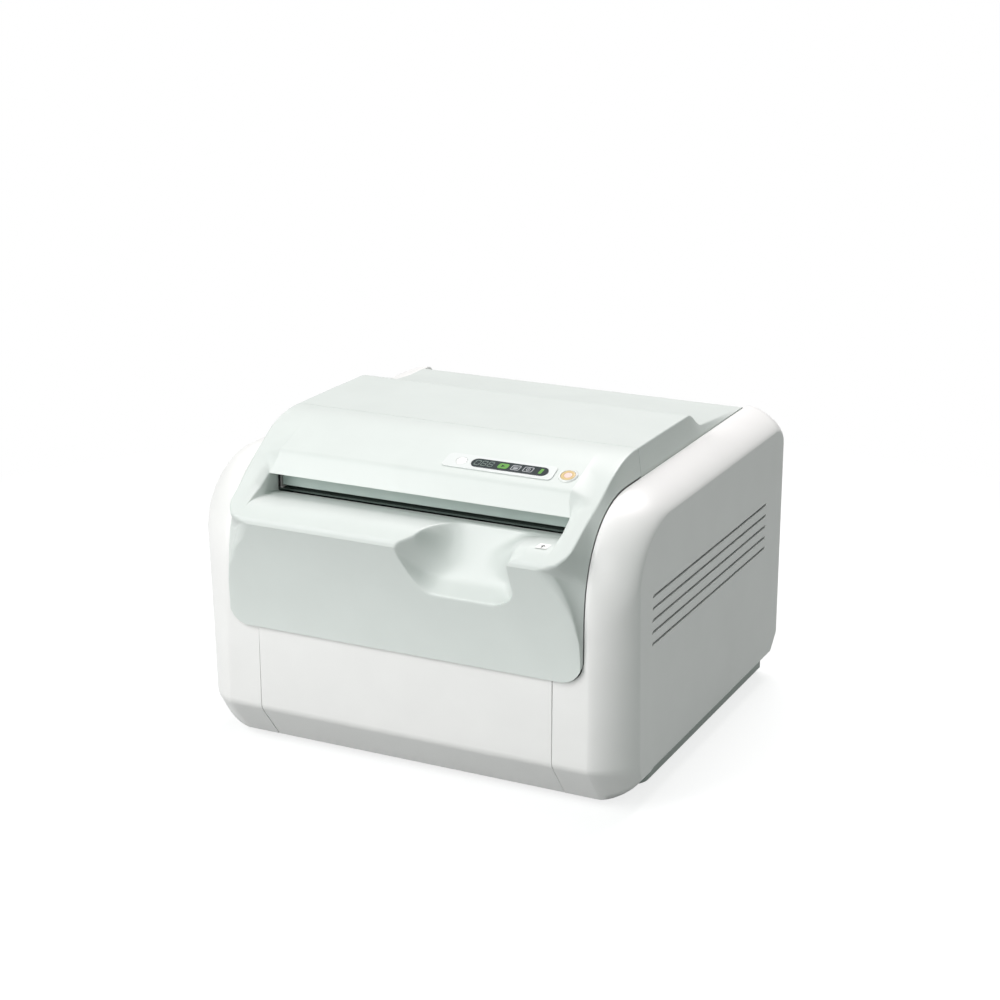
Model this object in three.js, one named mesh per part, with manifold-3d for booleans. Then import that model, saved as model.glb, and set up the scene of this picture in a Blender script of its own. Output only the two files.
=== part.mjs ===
// Table-top reader for phosphor imaging plates, with its covers, plate path and optics
// Millimetres, +Z up, front at -Y, origin on the table under the middle of the case

import * as THREE from 'three';
import { mergeVertices } from 'three/addons/utils/BufferGeometryUtils.js';
import Module from 'manifold-3d';

const wasm = await Module();
wasm.setup();

// What goes into it: a cassette of 35 x 43 cm, and the room it gets in its slot and bay
const cassette = { width: 383, length: 459, thick: 15 };
const play = { side: 1.5, above: 8.5, behind: 20.5 };

// Stock and clearances
const wall = 3; // moulded covers
const sheet = 2; // folded steel
const board = 1.6; // circuit boards
const seam = 0.7; // visible gap between two covers
const seat = 0.25; // gap between a piece and what carries it
const running = 0.4; // gap round what turns or slides
const overrun = 6; // how far a cutter runs past the face it cuts
const hair = 1e-4; // points closer than this are one point
const chord = { corner: 6, round: 24, small: 16 }; // facets of arcs

// The case is built round the cassette's slot
const shelfHeight = 316.5; // the shelf in front of the slot, above the table
const browRise = 52; // from the slot's top edge to the top of the case
const lipSetback = 68.5; // from the lip back to the slot
const armWidth = 35.6; // beside the slot, out to the side cover
const coverWidth = 50.7;
const slotHalf = cassette.width / 2 + play.side;
const slotTopZ = shelfHeight + cassette.thick + play.above;
const caseHeight = slotTopZ + browRise;
const caseDepth = lipSetback + cassette.length + play.behind;
const caseWidth = (slotHalf + armWidth + seam + coverWidth) * 2;

const front = -caseDepth / 2;
const back = caseDepth / 2;
const side = caseWidth / 2;
const yAt = (setback) => front + setback; // setbacks are measured from the lip
const mix = (a, b, t) => a + (b - a) * t;
const rad = THREE.MathUtils.degToRad;

// Fascia: everything pale green in front of the lid
const fascia = {
  half: slotHalf + armWidth,
  seamSetback: 187, // where the lid begins
  archSetback: 182, // where the top starts to fall
  panel: { radius: 146, slope: rad(21.3), setback: 84 }, // the part that carries the controls
  ramp: { radius: 140, slope: rad(31.5) }, // the two arms beside the slot
  shelfSetback: 19.5,
  nose: { topSetback: 2, topDrop: 10.6, midSetback: 0.4, midDrop: 14.5, drop: 18.5 },
  apron: { rake: 25.5, bottomZ: 162, corner: 26 },
  bevel: { drop: 7, width: 9.4, foot: 0.6 },
  turn: { arm: 9.6, lip: 15.6, apron: 3, power: 2.7, apronPower: 2, spread: 2.6 },
  panelBlend: 5,
  duct: 13, // depth of the slot behind its mouth
};
const noseBottomZ = shelfHeight - fascia.nose.drop;

// Side covers
const cover = {
  inner: fascia.half + seam,
  flat: 4.7, // before the front turns towards the side
  sweepPower: 1.45,
  wing: 37.7, // how far the front reaches in under the apron
  top: { innerDrop: 34, outerDrop: 57 },
  innerFace: { frontSetback: 30.5, shoulderDepth: 118.5, shoulderRise: 133 },
  outerFace: { frontSetback: 67, lean: 13, shoulderDepth: 82, shoulderRise: 66 },
  power: { inner: 2.35, outer: 1.8 },
  footZ: { inner: 8, plinth: 22, outer: 38 },
  kink: { innerZ: 56, outerZ: 54, innerSetback: 30.2, footSetback: 67.5 },
  rearInset: 10,
  rearCorner: { depth: 30, drop: 20 },
  plinthSetback: 120,
};
cover.innerFace.top = caseHeight - cover.top.innerDrop;
cover.outerFace.top = caseHeight - cover.top.outerDrop;
for (const face of [cover.innerFace, cover.outerFace]) face.shoulderZ = face.top - face.shoulderRise;
const wingInner = cover.inner - cover.wing;
const louvre = {
  count: 5, pitch: 14.3, height: 3.4, drop: 109, frontSetback: 102.5, rearInset: 71.5, cant: 3,
};

// Lid over the rear half; insets are measured from the back of the case
const lid = {
  crest: { setback: 343, drop: 0.8 },
  step: { length: 48, drop: 22, rows: 5 },
  rearEdge: { inset: 24, drop: 33 },
  rearFace: { inset: 16, drop: 42 },
  skirtDrop: 46,
  middleShare: 0.5,
  bulgeShare: 0.6,
};
const skirtZ = caseHeight - lid.skirtDrop;
const lidHinge = { inset: lid.rearEdge.inset, drop: 47, pin: 2.6, boss: 6, ear: 3, off: 1.5 };
lidHinge.z = caseHeight - lidHinge.drop;

// Front door under the apron
const door = {
  half: wingInner - seam, footSetback: 68.4, footZ: 7.5, kinkSetback: 30.2, kinkZ: 56, topSetback: 29.6,
  depth: 15, heel: 0.6,
};
const doorHinge = { setback: 76, z: 14, pin: 2.4, boss: 5, tuck: 3.5, ear: 3.2, inset: 20.9 };
const latch = { width: 15, x: 108, depth: 5, up: 13, down: 10 };

// Plinth, feet and rear panel
const foot = { radius: 15, height: 6, inset: 58, frontSetback: 150, rearInset: 42 };
const plinth = { inset: 18, height: 14, corner: 24, noseInset: 5.6, noseSetback: 84, rearInset: 16 };
const rear = { inset: 12, gap: 0.2, topGap: 1.5 };

// Frame
const frame = {
  gap: 6.5, frontSetback: 93, rearInset: 20, topRise: 13.5, toe: 3.6, horn: 7, hornDepth: 14,
  tab: 4, tabDepth: 18, chamfer: 3, relief: 1,
};
const tray = { drop: 3.2, flange: 14, lead: 3, window: { half: 112, frontSetback: 162, rearSetback: 266 } };
const guide = { thick: 2.6, height: 21 };
const flap = { setback: 90, rise: 29.5, pin: 2.5, inset: 5, thick: 2, length: 26 };
const beam = { depth: 12, height: 42, frontDrop: 63.3, rearDrop: 92 };

// Plate path: down behind the tray between rollers, then forward over the turn guide
const plateThick = 0.8;
const roller = { radius: 11, inset: 23.5, shaft: 4, rearInset: 54, drop: 25.3 };
const pulley = { roller: 14, motor: 8, width: 6, belt: 1.4, off: 7.5 };
const motor = { radius: 21, length: 44, lead: 70, shaft: 3, plate: 3 };

// The lower rollers and the optics stand between the floor and the tray, at these shares of the way
const level = { rollersShare: 0.46292, opticsShare: 0.6346 };

// Pickup arm below the cassette
const pickup = {
  setback: 314, drop: 30.3, pin: 3, reach: 96, bar: 8, half: 80, cupX: 48, cup: 11, cupHeight: 9,
};
const cupShares = [[0, 0], [0.45, 0], [0.45, 0.45], [1, 1], [0.82, 1], [0.3, 0.62], [0, 0.62]];

// Scanning optics; leads are measured forward from the plate's path
const optics = { half: 112, depth: 224, lead: 70, lift: 0.3, height: 48, wall: 3, slit: 6, slitHalf: 96 };
const opticsShelf = { lead: 44, depth: 272 };
const spinner = { motorRadius: 24, motorHeight: 12, radius: 20, height: 9, sides: 8, lead: 240, gap: 0.5 };
const laser = { radius: 9, length: 46, x: -56 };
const lens = { half: 62, depth: 14, sag: 8, height: 14, lead: 168 };
const foldMirror = { half: 92, depth: 5, height: 22, lead: 102 };
const lightGuide = { thick: 8, spread: 2, neck: 15, lead: 72, gap: 2 };
const detector = { radius: 15, length: 62 };
const eraser = { depth: 40, height: 22, lead: 102, drop: 58, lamps: 12, lamp: 5, wall: 2 };
const turn = { radius: 84, thick: 1.5, drop: 22 };

// Power and electronics
const supply = { half: 68, depth: 150, height: 66, inset: 13.3, setback: 141 };
const chipShares = [ // place and size as shares of the board, and height in board thicknesses
  [0.3, 0.3, 0.12, 0.12, 4],
  [0.62, 0.62, 0.2, 0.08, 6],
  [0.3, 0.72, 0.1, 0.1, 3],
  [0.75, 0.28, 0.08, 0.16, 9],
];
const mainBoard = { inset: 15.3, depth: 176, setback: 148, standoff: 16, post: 4, postInset: 8, gap: 50 };
const fan = {
  half: 40, depth: 25, inset: 132.6, drop: 58, hub: 15, blades: 7, tip: 36, twist: rad(35), blade: 1.6,
  slots: 9, slotShare: 0.27,
};
const inlet = {
  half: 14, height: 20, depth: 22, lip: 2, inset: 78.6, z: 62, cavity: 2.5, cavityDepth: 15, pin: 1,
  pinLength: 13.75,
};
const pinShares = [[-0.5, -0.15], [0, 0.15], [0.5, -0.15]]; // across the half width and the height
const rocker = {
  half: 6, height: 18, depth: 10, frame: 2, inset: 118.6, z: 62, crown: 1.5, low: 0.5, high: 2.4, play: 1.2,
};
const port = { half: 8, height: 13, depth: 16, inset: 158.6, z: 62, wall: 1.8, cavityDepth: 11.2 };
for (const fitted of [inlet, rocker, port]) fitted.x = fitted.inset - fascia.half;
fan.x = fascia.half - fan.inset;

// Controls on the sloping panel, placed from the slot's right end; up is measured from the crease
const controls = { up: 25.5, overlay: { height: 25, thick: 0.8, corner: 5, right: 36, lead: 21.4 } };
const display = { inset: 44, length: 96, height: 15.5, thick: 1.1, shoulder: 1.6 };
const power = { inset: 19.6, button: 8.6, bezel: 11.4, bezelRise: 1.6, rise: 1.7, stem: 5.4, travel: 1.2 };
const select = { lead: 12.6, button: 6.4, rise: 1.2, stem: 4.8, travel: 0.6 };
const controlBoard = { depth: 7.4, height: 22, post: 2.4, margin: 2 };
display.right = slotHalf - display.inset;
display.left = display.right - display.length;
power.x = slotHalf - power.inset;
select.x = display.left - select.lead;
controls.overlay.x0 = select.x - controls.overlay.lead;
controls.overlay.x1 = slotHalf - controls.overlay.right;

// Finger scoop in the shelf and apron
const scoop = {
  inset: 44, width: 108, depth: 72, rearSetback: 68, corner: 18,
  floorSetbackShares: [1, 0.86, 0.68, 0.5, 0.32, 0.14],
  floorDropShares: [0, 0.24, 0.56, 0.8, 0.94, 1],
  flare: 27, flareRise: 17.5, flareSetback: 24,
};
scoop.right = slotHalf - scoop.inset;
scoop.left = scoop.right - scoop.width;
scoop.floorZ = shelfHeight - scoop.depth;

// Places that several pieces share
const plinthBottom = foot.height + seat;
const plinthFloor = plinthBottom + wall;
const plinthFrontY = yAt(cover.plinthSetback) + seam * 2;
const noseY = yAt(plinth.noseSetback);
const doorHingeX = door.half - doorHinge.inset;
const rearFace = back - rear.inset;
const trayTop = shelfHeight - tray.drop;
const frameX = slotHalf + frame.gap;
const frameFront = yAt(frame.frontSetback);
const frameRear = back - frame.rearInset;
const betweenPlates = frameX - seat;
const flapY = yAt(flap.setback);
const flapZ = shelfHeight + flap.rise;
const pathY = back - roller.rearInset;
const driveY = pathY + roller.radius + plateThick / 2;
const pinchY = pathY - roller.radius - plateThick / 2;
const upperZ = trayTop - roller.drop;
const lowerZ = mix(plinthFloor, trayTop, level.rollersShare);
const opticsZ = mix(plinthFloor, trayTop, level.opticsShare);
const motorY = pathY - motor.lead;
fan.z = lowerZ - fan.drop;
const pickupY = yAt(pickup.setback);
const pickupZ = trayTop - pickup.drop;
const rollerHalf = frameX - roller.inset;
const lidHingeX = frameX + sheet + lidHinge.off + lidHinge.ear + running;

// Geometry helpers

function solid(geometry) {
  const bare = new THREE.BufferGeometry();
  bare.setAttribute('position', geometry.getAttribute('position'));
  if (geometry.index) bare.setIndex(geometry.index);
  const merged = mergeVertices(bare, hair);
  return new wasm.Manifold(new wasm.Mesh({
    numProp: 3,
    vertProperties: Float32Array.from(merged.getAttribute('position').array),
    triVerts: Uint32Array.from(merged.index.array),
  }));
}

function toGeometry(body) {
  const mesh = body.getMesh();
  const geometry = new THREE.BufferGeometry();
  geometry.setAttribute('position', new THREE.BufferAttribute(mesh.vertProperties, 3));
  geometry.setIndex(new THREE.BufferAttribute(mesh.triVerts, 1));
  geometry.computeVertexNormals();
  return geometry;
}

const boxSolid = (x0, x1, y0, y1, z0, z1) => solid(
  new THREE.BoxGeometry(x1 - x0, y1 - y0, z1 - z0).translate((x0 + x1) / 2, (y0 + y1) / 2, (z0 + z1) / 2),
);

function extrude(points, length, holes = []) {
  const shape = new THREE.Shape(points.map(([u, v]) => new THREE.Vector2(u, v)));
  for (const hole of holes) shape.holes.push(new THREE.Path(hole.map(([u, v]) => new THREE.Vector2(u, v))));
  return new THREE.ExtrudeGeometry(shape, { depth: length, bevelEnabled: false });
}

// An outline in (y, z) swept along x, one in (x, z) along y, and one in (x, y) along z
const turnToX = new THREE.Matrix4().makeBasis(
  new THREE.Vector3(0, 1, 0), new THREE.Vector3(0, 0, 1), new THREE.Vector3(1, 0, 0));
const turnToY = new THREE.Matrix4().makeBasis(
  new THREE.Vector3(0, 0, 1), new THREE.Vector3(1, 0, 0), new THREE.Vector3(0, 1, 0));
const alongX = (outline, x0, x1, holes) =>
  solid(extrude(outline, x1 - x0, holes).applyMatrix4(turnToX).translate(x0, 0, 0));
const alongY = (outline, y0, y1) =>
  solid(extrude(outline.map(([x, z]) => [z, x]), y1 - y0).applyMatrix4(turnToY).translate(0, y0, 0));
const alongZ = (outline, z0, z1, holes) => solid(extrude(outline, z1 - z0, holes).translate(0, 0, z0));

// A rod between two places on one axis
function rod(axis, radius, from, to, [p, q], sides = chord.small) {
  const geometry = new THREE.CylinderGeometry(radius, radius, to - from, sides);
  const middle = (from + to) / 2;
  if (axis === 'x') geometry.rotateZ(Math.PI / 2).translate(middle, p, q);
  if (axis === 'y') geometry.translate(p, middle, q);
  if (axis === 'z') geometry.rotateX(Math.PI / 2).translate(p, q, middle);
  return solid(geometry);
}

function roundedRectangle(x0, x1, y0, y1, radius) {
  const points = [];
  const centres = [[x1 - radius, y1 - radius], [x0 + radius, y1 - radius], [x0 + radius, y0 + radius],
    [x1 - radius, y0 + radius]];
  centres.forEach(([cx, cy], corner) => {
    for (let i = 0; i <= chord.corner; i += 1) {
      const a = (corner + i / chord.corner) * (Math.PI / 2);
      points.push([cx + radius * Math.cos(a), cy + radius * Math.sin(a)]);
    }
  });
  return points;
}

// A closed body through rings of points with x growing from ring to ring
function loft(rings) {
  const plan = (ring) => ring.map(([, y, z]) => new THREE.Vector2(y, z));
  const isForward = THREE.ShapeUtils.area(plan(rings[0])) > 0;
  const ordered = isForward ? rings : rings.map((ring) => [...ring].reverse());
  const count = ordered[0].length;
  const index = [];
  for (let r = 0; r < ordered.length - 1; r += 1) {
    for (let i = 0; i < count; i += 1) {
      const a = r * count + i;
      const b = r * count + ((i + 1) % count);
      index.push(a, b, a + count, b, b + count, a + count);
    }
  }
  // Each point is moved a hair for the triangulation alone, so that none is in line with its neighbours
  const nudge = (p, i) => p.add(new THREE.Vector2(Math.sin(i * i), Math.cos(i * i)).multiplyScalar(hair));
  const cap = (ring) => THREE.ShapeUtils.triangulateShape(plan(ring).map(nudge), []);
  const last = (ordered.length - 1) * count;
  for (const [a, b, c] of cap(ordered[0])) index.push(a, c, b);
  for (const [a, b, c] of cap(ordered[ordered.length - 1])) index.push(last + a, last + b, last + c);
  const geometry = new THREE.BufferGeometry();
  geometry.setAttribute('position', new THREE.Float32BufferAttribute(ordered.flat(2), 3));
  geometry.setIndex(index);
  return solid(geometry);
}

// The same open outline moved sideways by a distance, to its right
function shifted(points, distance) {
  return points.map(([y, z], i) => {
    const [ya, za] = points[Math.max(i - 1, 0)];
    const [yb, zb] = points[Math.min(i + 1, points.length - 1)];
    const before = new THREE.Vector2(y - ya, z - za).normalize();
    const after = new THREE.Vector2(yb - y, zb - z).normalize();
    if (i === 0) before.copy(after);
    if (i === points.length - 1) after.copy(before);
    const normal = new THREE.Vector2(before.y + after.y, -before.x - after.x).normalize();
    const stretch = Math.min(1 / Math.max(normal.dot(new THREE.Vector2(before.y, -before.x)), 1 / 2), 2);
    return [y + normal.x * distance * stretch, z + normal.y * distance * stretch];
  });
}

const closedShift = (points, distance) => {
  const padded = [points[points.length - 1], ...points, points[0]];
  return shifted(padded, distance).slice(1, -1);
};

// Quarter of a superellipse: how far across and how far back at a share of the turn
const sweep = (share, power) => {
  const a = (share * Math.PI) / 2;
  return [Math.sin(a) ** (2 / power), 1 - Math.cos(a) ** (2 / power)];
};

// Shared outlines

// Front of the cover's inner edge at a height
function coverFront(z, proud = 0) {
  const f = cover.innerFace;
  if (z <= f.shoulderZ) return f.frontSetback - proud;
  const up = Math.min((z - f.shoulderZ) / (f.shoulderRise + proud), 1);
  return f.frontSetback + f.shoulderDepth
    - (f.shoulderDepth + proud) * (1 - up ** cover.power.inner) ** (1 / cover.power.inner);
}

const panelEndSetback = fascia.archSetback - fascia.panel.radius * Math.sin(fascia.panel.slope);
const panelEndZ = caseHeight - fascia.panel.radius * (1 - Math.cos(fascia.panel.slope));
const creaseZ = panelEndZ - (panelEndSetback - fascia.panel.setback) * Math.tan(fascia.panel.slope);
const rampEndSetback = fascia.archSetback - fascia.ramp.radius * Math.sin(fascia.ramp.slope);
const rampEndZ = caseHeight - fascia.ramp.radius * (1 - Math.cos(fascia.ramp.slope));
const rampZ = (setback) => rampEndZ - (rampEndSetback - setback) * Math.tan(fascia.ramp.slope);
const apronSetback = (z) => {
  const down = (noseBottomZ - z) / (noseBottomZ - fascia.apron.bottomZ);
  return fascia.apron.rake * (1 - (1 - down) ** 2);
};

const archSteps = 4;
const apronShares = [0.1, 0.26, 0.47, 0.68, 0.86, 1];
const turnShares = [0, 0.22, 0.45, 0.7, 1]; // stations of the turn towards the side cover
const bevelShare = 0.4; // where the bevel's foot bends, from the slot to the lip
const creaseShare = 0.5; // the bevel's height between panel and arm
const seamShare = 0.6; // how far the top rows run on forward at the side cover
const apronZ = apronShares.map((share) => mix(noseBottomZ, fascia.apron.bottomZ, share));
const bevelSetback = mix(lipSetback, fascia.shelfSetback, bevelShare);

function arch({ radius, slope }) {
  return Array.from({ length: archSteps + 1 }, (_, i) => {
    const a = (slope * i) / archSteps;
    return [fascia.archSetback - radius * Math.sin(a), caseHeight - radius * (1 - Math.cos(a))];
  });
}

// Outlines of the fascia as [setback, z], from the lid's seam down to the foot of the apron
const noseAndApron = [
  [fascia.nose.topSetback, shelfHeight - fascia.nose.topDrop],
  [fascia.nose.midSetback, shelfHeight - fascia.nose.midDrop],
  [0, noseBottomZ],
  ...apronZ.map((z) => [apronSetback(z), z]),
];
const middleOutline = [
  [fascia.seamSetback, caseHeight],
  ...arch(fascia.panel),
  [fascia.panel.setback, creaseZ],
  [lipSetback, slotTopZ],
  [lipSetback, shelfHeight],
  [fascia.shelfSetback, shelfHeight],
  ...noseAndApron,
];
const bevelOutline = [
  [fascia.seamSetback, caseHeight],
  ...arch(fascia.panel),
  [fascia.panel.setback, mix(creaseZ, rampZ(fascia.panel.setback), creaseShare)],
  [lipSetback, slotTopZ],
  [bevelSetback, rampZ(bevelSetback) - fascia.bevel.drop],
  [fascia.shelfSetback, shelfHeight],
  ...noseAndApron,
];
const armOutline = [
  [fascia.seamSetback, caseHeight],
  ...arch(fascia.ramp),
  [fascia.panel.setback, rampZ(fascia.panel.setback)],
  [lipSetback, rampZ(lipSetback)],
  [bevelSetback, rampZ(bevelSetback)],
  [fascia.shelfSetback, rampZ(fascia.shelfSetback)],
  ...noseAndApron,
];

// Where each of those points starts to turn towards the side, and where it ends beside the cover
const archRows = archSteps + 2;
const noseRow = archRows + 4;
const turnStart = (row, z) => {
  if (row < noseRow - 1) return fascia.half - fascia.turn.arm;
  if (row === noseRow - 1) return fascia.half - fascia.turn.lip;
  const wide = fascia.half - fascia.turn.apron;
  const down = Math.max((noseBottomZ - z) / (noseBottomZ - fascia.apron.bottomZ), 0);
  return mix(slotHalf - fascia.panelBlend, wide, 1 - (1 - down) ** fascia.turn.spread);
};
const sidePoint = (row, [setback, z], proud) => {
  const top = cover.innerFace.top + proud;
  if (row <= archSteps) return [mix(fascia.seamSetback, setback, seamShare), top];
  const low = Math.min(z, top - (row - archSteps) * proud);
  return [coverFront(low, proud), low];
};

// A body between the left and right ends of the fascia's outline; inset makes the hollow inside it
function fasciaBody(inset, closing) {
  const half = fascia.half - inset;
  const stations = [
    [slotHalf - fascia.panelBlend + inset, middleOutline],
    [slotHalf + inset, middleOutline],
    [slotHalf + inset + fascia.bevel.foot, bevelOutline],
    [slotHalf + inset + fascia.bevel.width, armOutline],
  ].map(([x, outline]) => [x, shifted(outline.map(([s, z]) => [yAt(s), z]), -inset), outline]);
  const proud = seam * 2;
  const rings = stations.map(([x, points], k) => points.map(([y, z], row) => {
    const start = turnStart(row, armOutline[row][1]) + (row < noseRow - 1 ? 0 : inset / 2);
    return [Math.min(x, start - (stations.length - k) * seam), y, z];
  }));
  const arm = stations[stations.length - 1][1];
  const sidePoints = armOutline.map((p, row) => sidePoint(row, p, proud));
  const edge = shifted(sidePoints.map(([s, z]) => [yAt(s), z]), -inset);
  for (const share of turnShares) {
    rings.push(arm.map(([y, z], row) => {
      const power = row < noseRow ? fascia.turn.power : fascia.turn.apronPower;
      const [across, backward] = sweep(share, power);
      const start = turnStart(row, armOutline[row][1]) + (row < noseRow - 1 ? 0 : inset / 2);
      const fall = share === 1 ? 1 : backward;
      return [mix(start, half, across), mix(y, edge[row][0], fall), mix(z, edge[row][1], fall)];
    }));
  }
  const closed = rings.map((ring) => closing(ring));
  const mirrored = closed.map((ring) => ring.map(([x, y, z]) => [-x, y, z])).reverse();
  return loft([...mirrored, ...closed]);
}

// Closes a ring of the fascia behind its seam and under its apron
const closeFascia = (extra) => (ring) => {
  const last = ring.length - 1;
  const y = yAt(fascia.seamSetback) + extra;
  const z = fascia.apron.bottomZ - extra;
  return [
    [ring[0][0], y, ring[0][2]],
    ...ring.slice(1, last),
    [ring[last][0], ring[last][1], z],
    [ring[last][0], y, z],
  ];
};

// Nodes

const model = new THREE.Group();
const finishes = {
  paleGreen: [0xdfe4df, 0.45, 0],
  white: [0xf3f3f1, 0.45, 0],
  grey: [0x9aa09c, 0.6, 0],
  steel: [0xb4b8ba, 0.4, 0.9],
  black: [0x26282a, 0.6, 0],
  rubber: [0x303234, 0.9, 0],
  brightSteel: [0xcfd2d4, 0.25, 1],
  amber: [0xf6c56a, 0.4, 0],
  glass: [0x40474a, 0.1, 0],
  boardGreen: [0x2c6b45, 0.5, 0],
  clear: [0xe8f0f0, 0.05, 0],
  cast: [0x8c9092, 0.6, 0.8],
};

function add(name, body, finish, parent = model) {
  const [color, roughness, metalness] = finishes[finish];
  const material = new THREE.MeshStandardMaterial({ color, roughness, metalness });
  const mesh = new THREE.Mesh(toGeometry(body), material);
  mesh.name = name;
  parent.add(mesh);
  return mesh;
}

const sides = [['left', -1], ['right', 1]];
const mirrorX = (body, sign) => (sign > 0 ? body : body.mirror([1, 0, 0]));

// The sloping control panel's own axes: x, up the slope from the crease, and out of the surface
const panelGroup = new THREE.Group();
panelGroup.position.set(0, yAt(fascia.panel.setback), creaseZ);
panelGroup.rotation.x = fascia.panel.slope;
panelGroup.updateMatrix();
const inPanel = (body) => body.transform(panelGroup.matrix.elements);
model.add(panelGroup);

// Feet and plinth

for (const [sideName, sign] of sides) {
  for (const [endName, y] of [['front', yAt(foot.frontSetback)], ['rear', back - foot.rearInset]]) {
    const body = rod('z', foot.radius, 0, foot.height, [sign * (side - foot.inset), y], chord.round);
    add(`foot_${endName}_${sideName}`, body, 'rubber');
  }
}

function plinthOutline(inset) {
  const half = side - plinth.inset - inset;
  const nose = wingInner - plinth.noseInset - inset;
  const shoulder = [];
  for (let i = 0; i <= chord.corner; i += 1) {
    const a = (i / chord.corner) * (Math.PI / 2);
    const r = plinth.corner - inset;
    shoulder.push([half - r + r * Math.sin(a), plinthFrontY + inset + r - r * Math.cos(a)]);
  }
  const rear = back - plinth.rearInset - inset;
  const rightSide = [[nose, noseY + inset], [nose, plinthFrontY + inset], ...shoulder, [half, rear]];
  return [...rightSide, ...rightSide.map(([x, y]) => [-x, y]).reverse()];
}

function makePlinth() {
  const top = plinthBottom + plinth.height;
  let body = alongZ(plinthOutline(0), plinthBottom, top)
    .subtract(alongZ(plinthOutline(wall), plinthFloor, top + overrun));
  for (const [, sign] of sides) {
    const x0 = doorHingeX;
    const y = yAt(doorHinge.setback);
    const ear = alongX([
      [noseY + wall / 2, doorHinge.z - doorHinge.boss], [noseY + wall / 2, doorHinge.z + doorHinge.boss],
      [y, doorHinge.z + doorHinge.boss], [y - doorHinge.tuck, doorHinge.z + doorHinge.boss / 2],
      [y - doorHinge.tuck, doorHinge.z - doorHinge.boss / 2], [y, doorHinge.z - doorHinge.boss],
    ], x0, x0 + doorHinge.ear);
    body = body.add(mirrorX(ear, sign));
    const bore = rod('x', doorHinge.pin + seat, x0 - overrun, x0 + doorHinge.ear + seam, [y, doorHinge.z]);
    body = body.subtract(mirrorX(bore, sign));
  }
  return body;
}
add('base_plinth', makePlinth(), 'grey');

// Side covers
const coverSections = [0, 0.2, 0.4, 0.6, 0.8, 1];

function coverOutline(share, z0) {
  const a = cover.innerFace;
  const b = cover.outerFace;
  const outerFront = (z) => b.frontSetback + b.lean * (1 - z / b.shoulderZ);
  const rows = [];
  const pair = (inner, outer) => rows.push([mix(inner[0], outer[0], share), mix(inner[1], outer[1], share)]);
  const outerFoot = cover.footZ.outer;
  pair([cover.kink.footSetback, cover.footZ.inner], [outerFront(outerFoot) + wall, outerFoot]);
  pair([cover.kink.innerSetback, cover.kink.innerZ], [outerFront(cover.kink.outerZ), cover.kink.outerZ]);
  const steps = chord.corner + 1;
  for (let i = 0; i <= steps; i += 1) {
    const [inAcross, inRise] = sweep(1 - i / steps, cover.power.inner);
    const [outAcross, outRise] = sweep(1 - i / steps, cover.power.outer);
    pair(
      [a.frontSetback + a.shoulderDepth * (1 - inAcross), a.shoulderZ + a.shoulderRise * (1 - inRise)],
      [b.frontSetback + b.shoulderDepth * (1 - outAcross), b.shoulderZ + b.shoulderRise * (1 - outRise)],
    );
  }
  const innerRear = caseDepth;
  const outerRear = innerRear - cover.rearInset;
  const corner = cover.rearCorner;
  for (let i = 0; i <= 2; i += 1) {
    const [across, fall] = sweep(i / 2, 2);
    pair(
      [innerRear - corner.depth / 2 * (1 - across), a.top - corner.drop / 2 * fall],
      [outerRear - corner.depth * (1 - across), b.top - corner.drop * fall],
    );
  }
  pair([innerRear, z0 + wall * 2], [outerRear, outerFoot + corner.drop]);
  pair([innerRear - wall, z0], [outerRear - corner.drop, outerFoot]);
  pair([cover.plinthSetback, z0], [cover.plinthSetback, outerFoot]);
  pair([cover.plinthSetback - overrun, cover.footZ.inner], [cover.plinthSetback - overrun, outerFoot]);
  return rows.map(([setback, z]) => [yAt(setback), z]);
}

function coverBody(inset, innerX) {
  const rings = [];
  const outlineAt = (share) => closedShift(coverOutline(share, cover.footZ.plinth), inset);
  const ringAt = (x, share) => outlineAt(share).map(([y, z]) => [x, y, z]);
  rings.push(ringAt(innerX, 0));
  for (const share of coverSections) {
    const [across, backward] = sweep(share, cover.sweepPower);
    rings.push(ringAt(mix(cover.inner + cover.flat, side - inset, across), backward));
  }
  return loft(rings);
}

function makeSideCover(sign) {
  let body = coverBody(0, wingInner).subtract(coverBody(wall, wingInner - overrun));
  const over = fascia.apron.bottomZ - seam;
  const cornerBottom = over + fascia.apron.corner;
  const clearance = [[0, over], [cover.inner - fascia.apron.corner, over]];
  for (let i = 1; i <= chord.corner; i += 1) {
    const a = (i / chord.corner) * (Math.PI / 2);
    clearance.push([cover.inner - fascia.apron.corner * (1 - Math.sin(a)),
      cornerBottom - fascia.apron.corner * Math.cos(a)]);
  }
  clearance.push([cover.inner, caseHeight + overrun], [0, caseHeight + overrun]);
  body = body.subtract(alongY(clearance, front - overrun, back + overrun));
  body = body.subtract(boxSolid(wingInner - overrun, cover.inner, yAt(cover.kink.footSetback + wall * 3),
    back + overrun, -overrun, caseHeight));
  for (let i = 0; i < louvre.count; i += 1) {
    const z = cover.innerFace.top - louvre.drop - i * louvre.pitch;
    const y0 = yAt(louvre.frontSetback);
    const y1 = back - louvre.rearInset;
    const outline = [[y0, z - louvre.height / 2], [y1, z - louvre.height / 2],
      [y1 + louvre.cant, z + louvre.height / 2], [y0 + louvre.cant, z + louvre.height / 2]];
    body = body.subtract(alongX(outline, side - wall - overrun, side + overrun));
  }
  return mirrorX(body, sign);
}
for (const [name, sign] of sides) add(`side_cover_${name}`, makeSideCover(sign), 'white');

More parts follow.
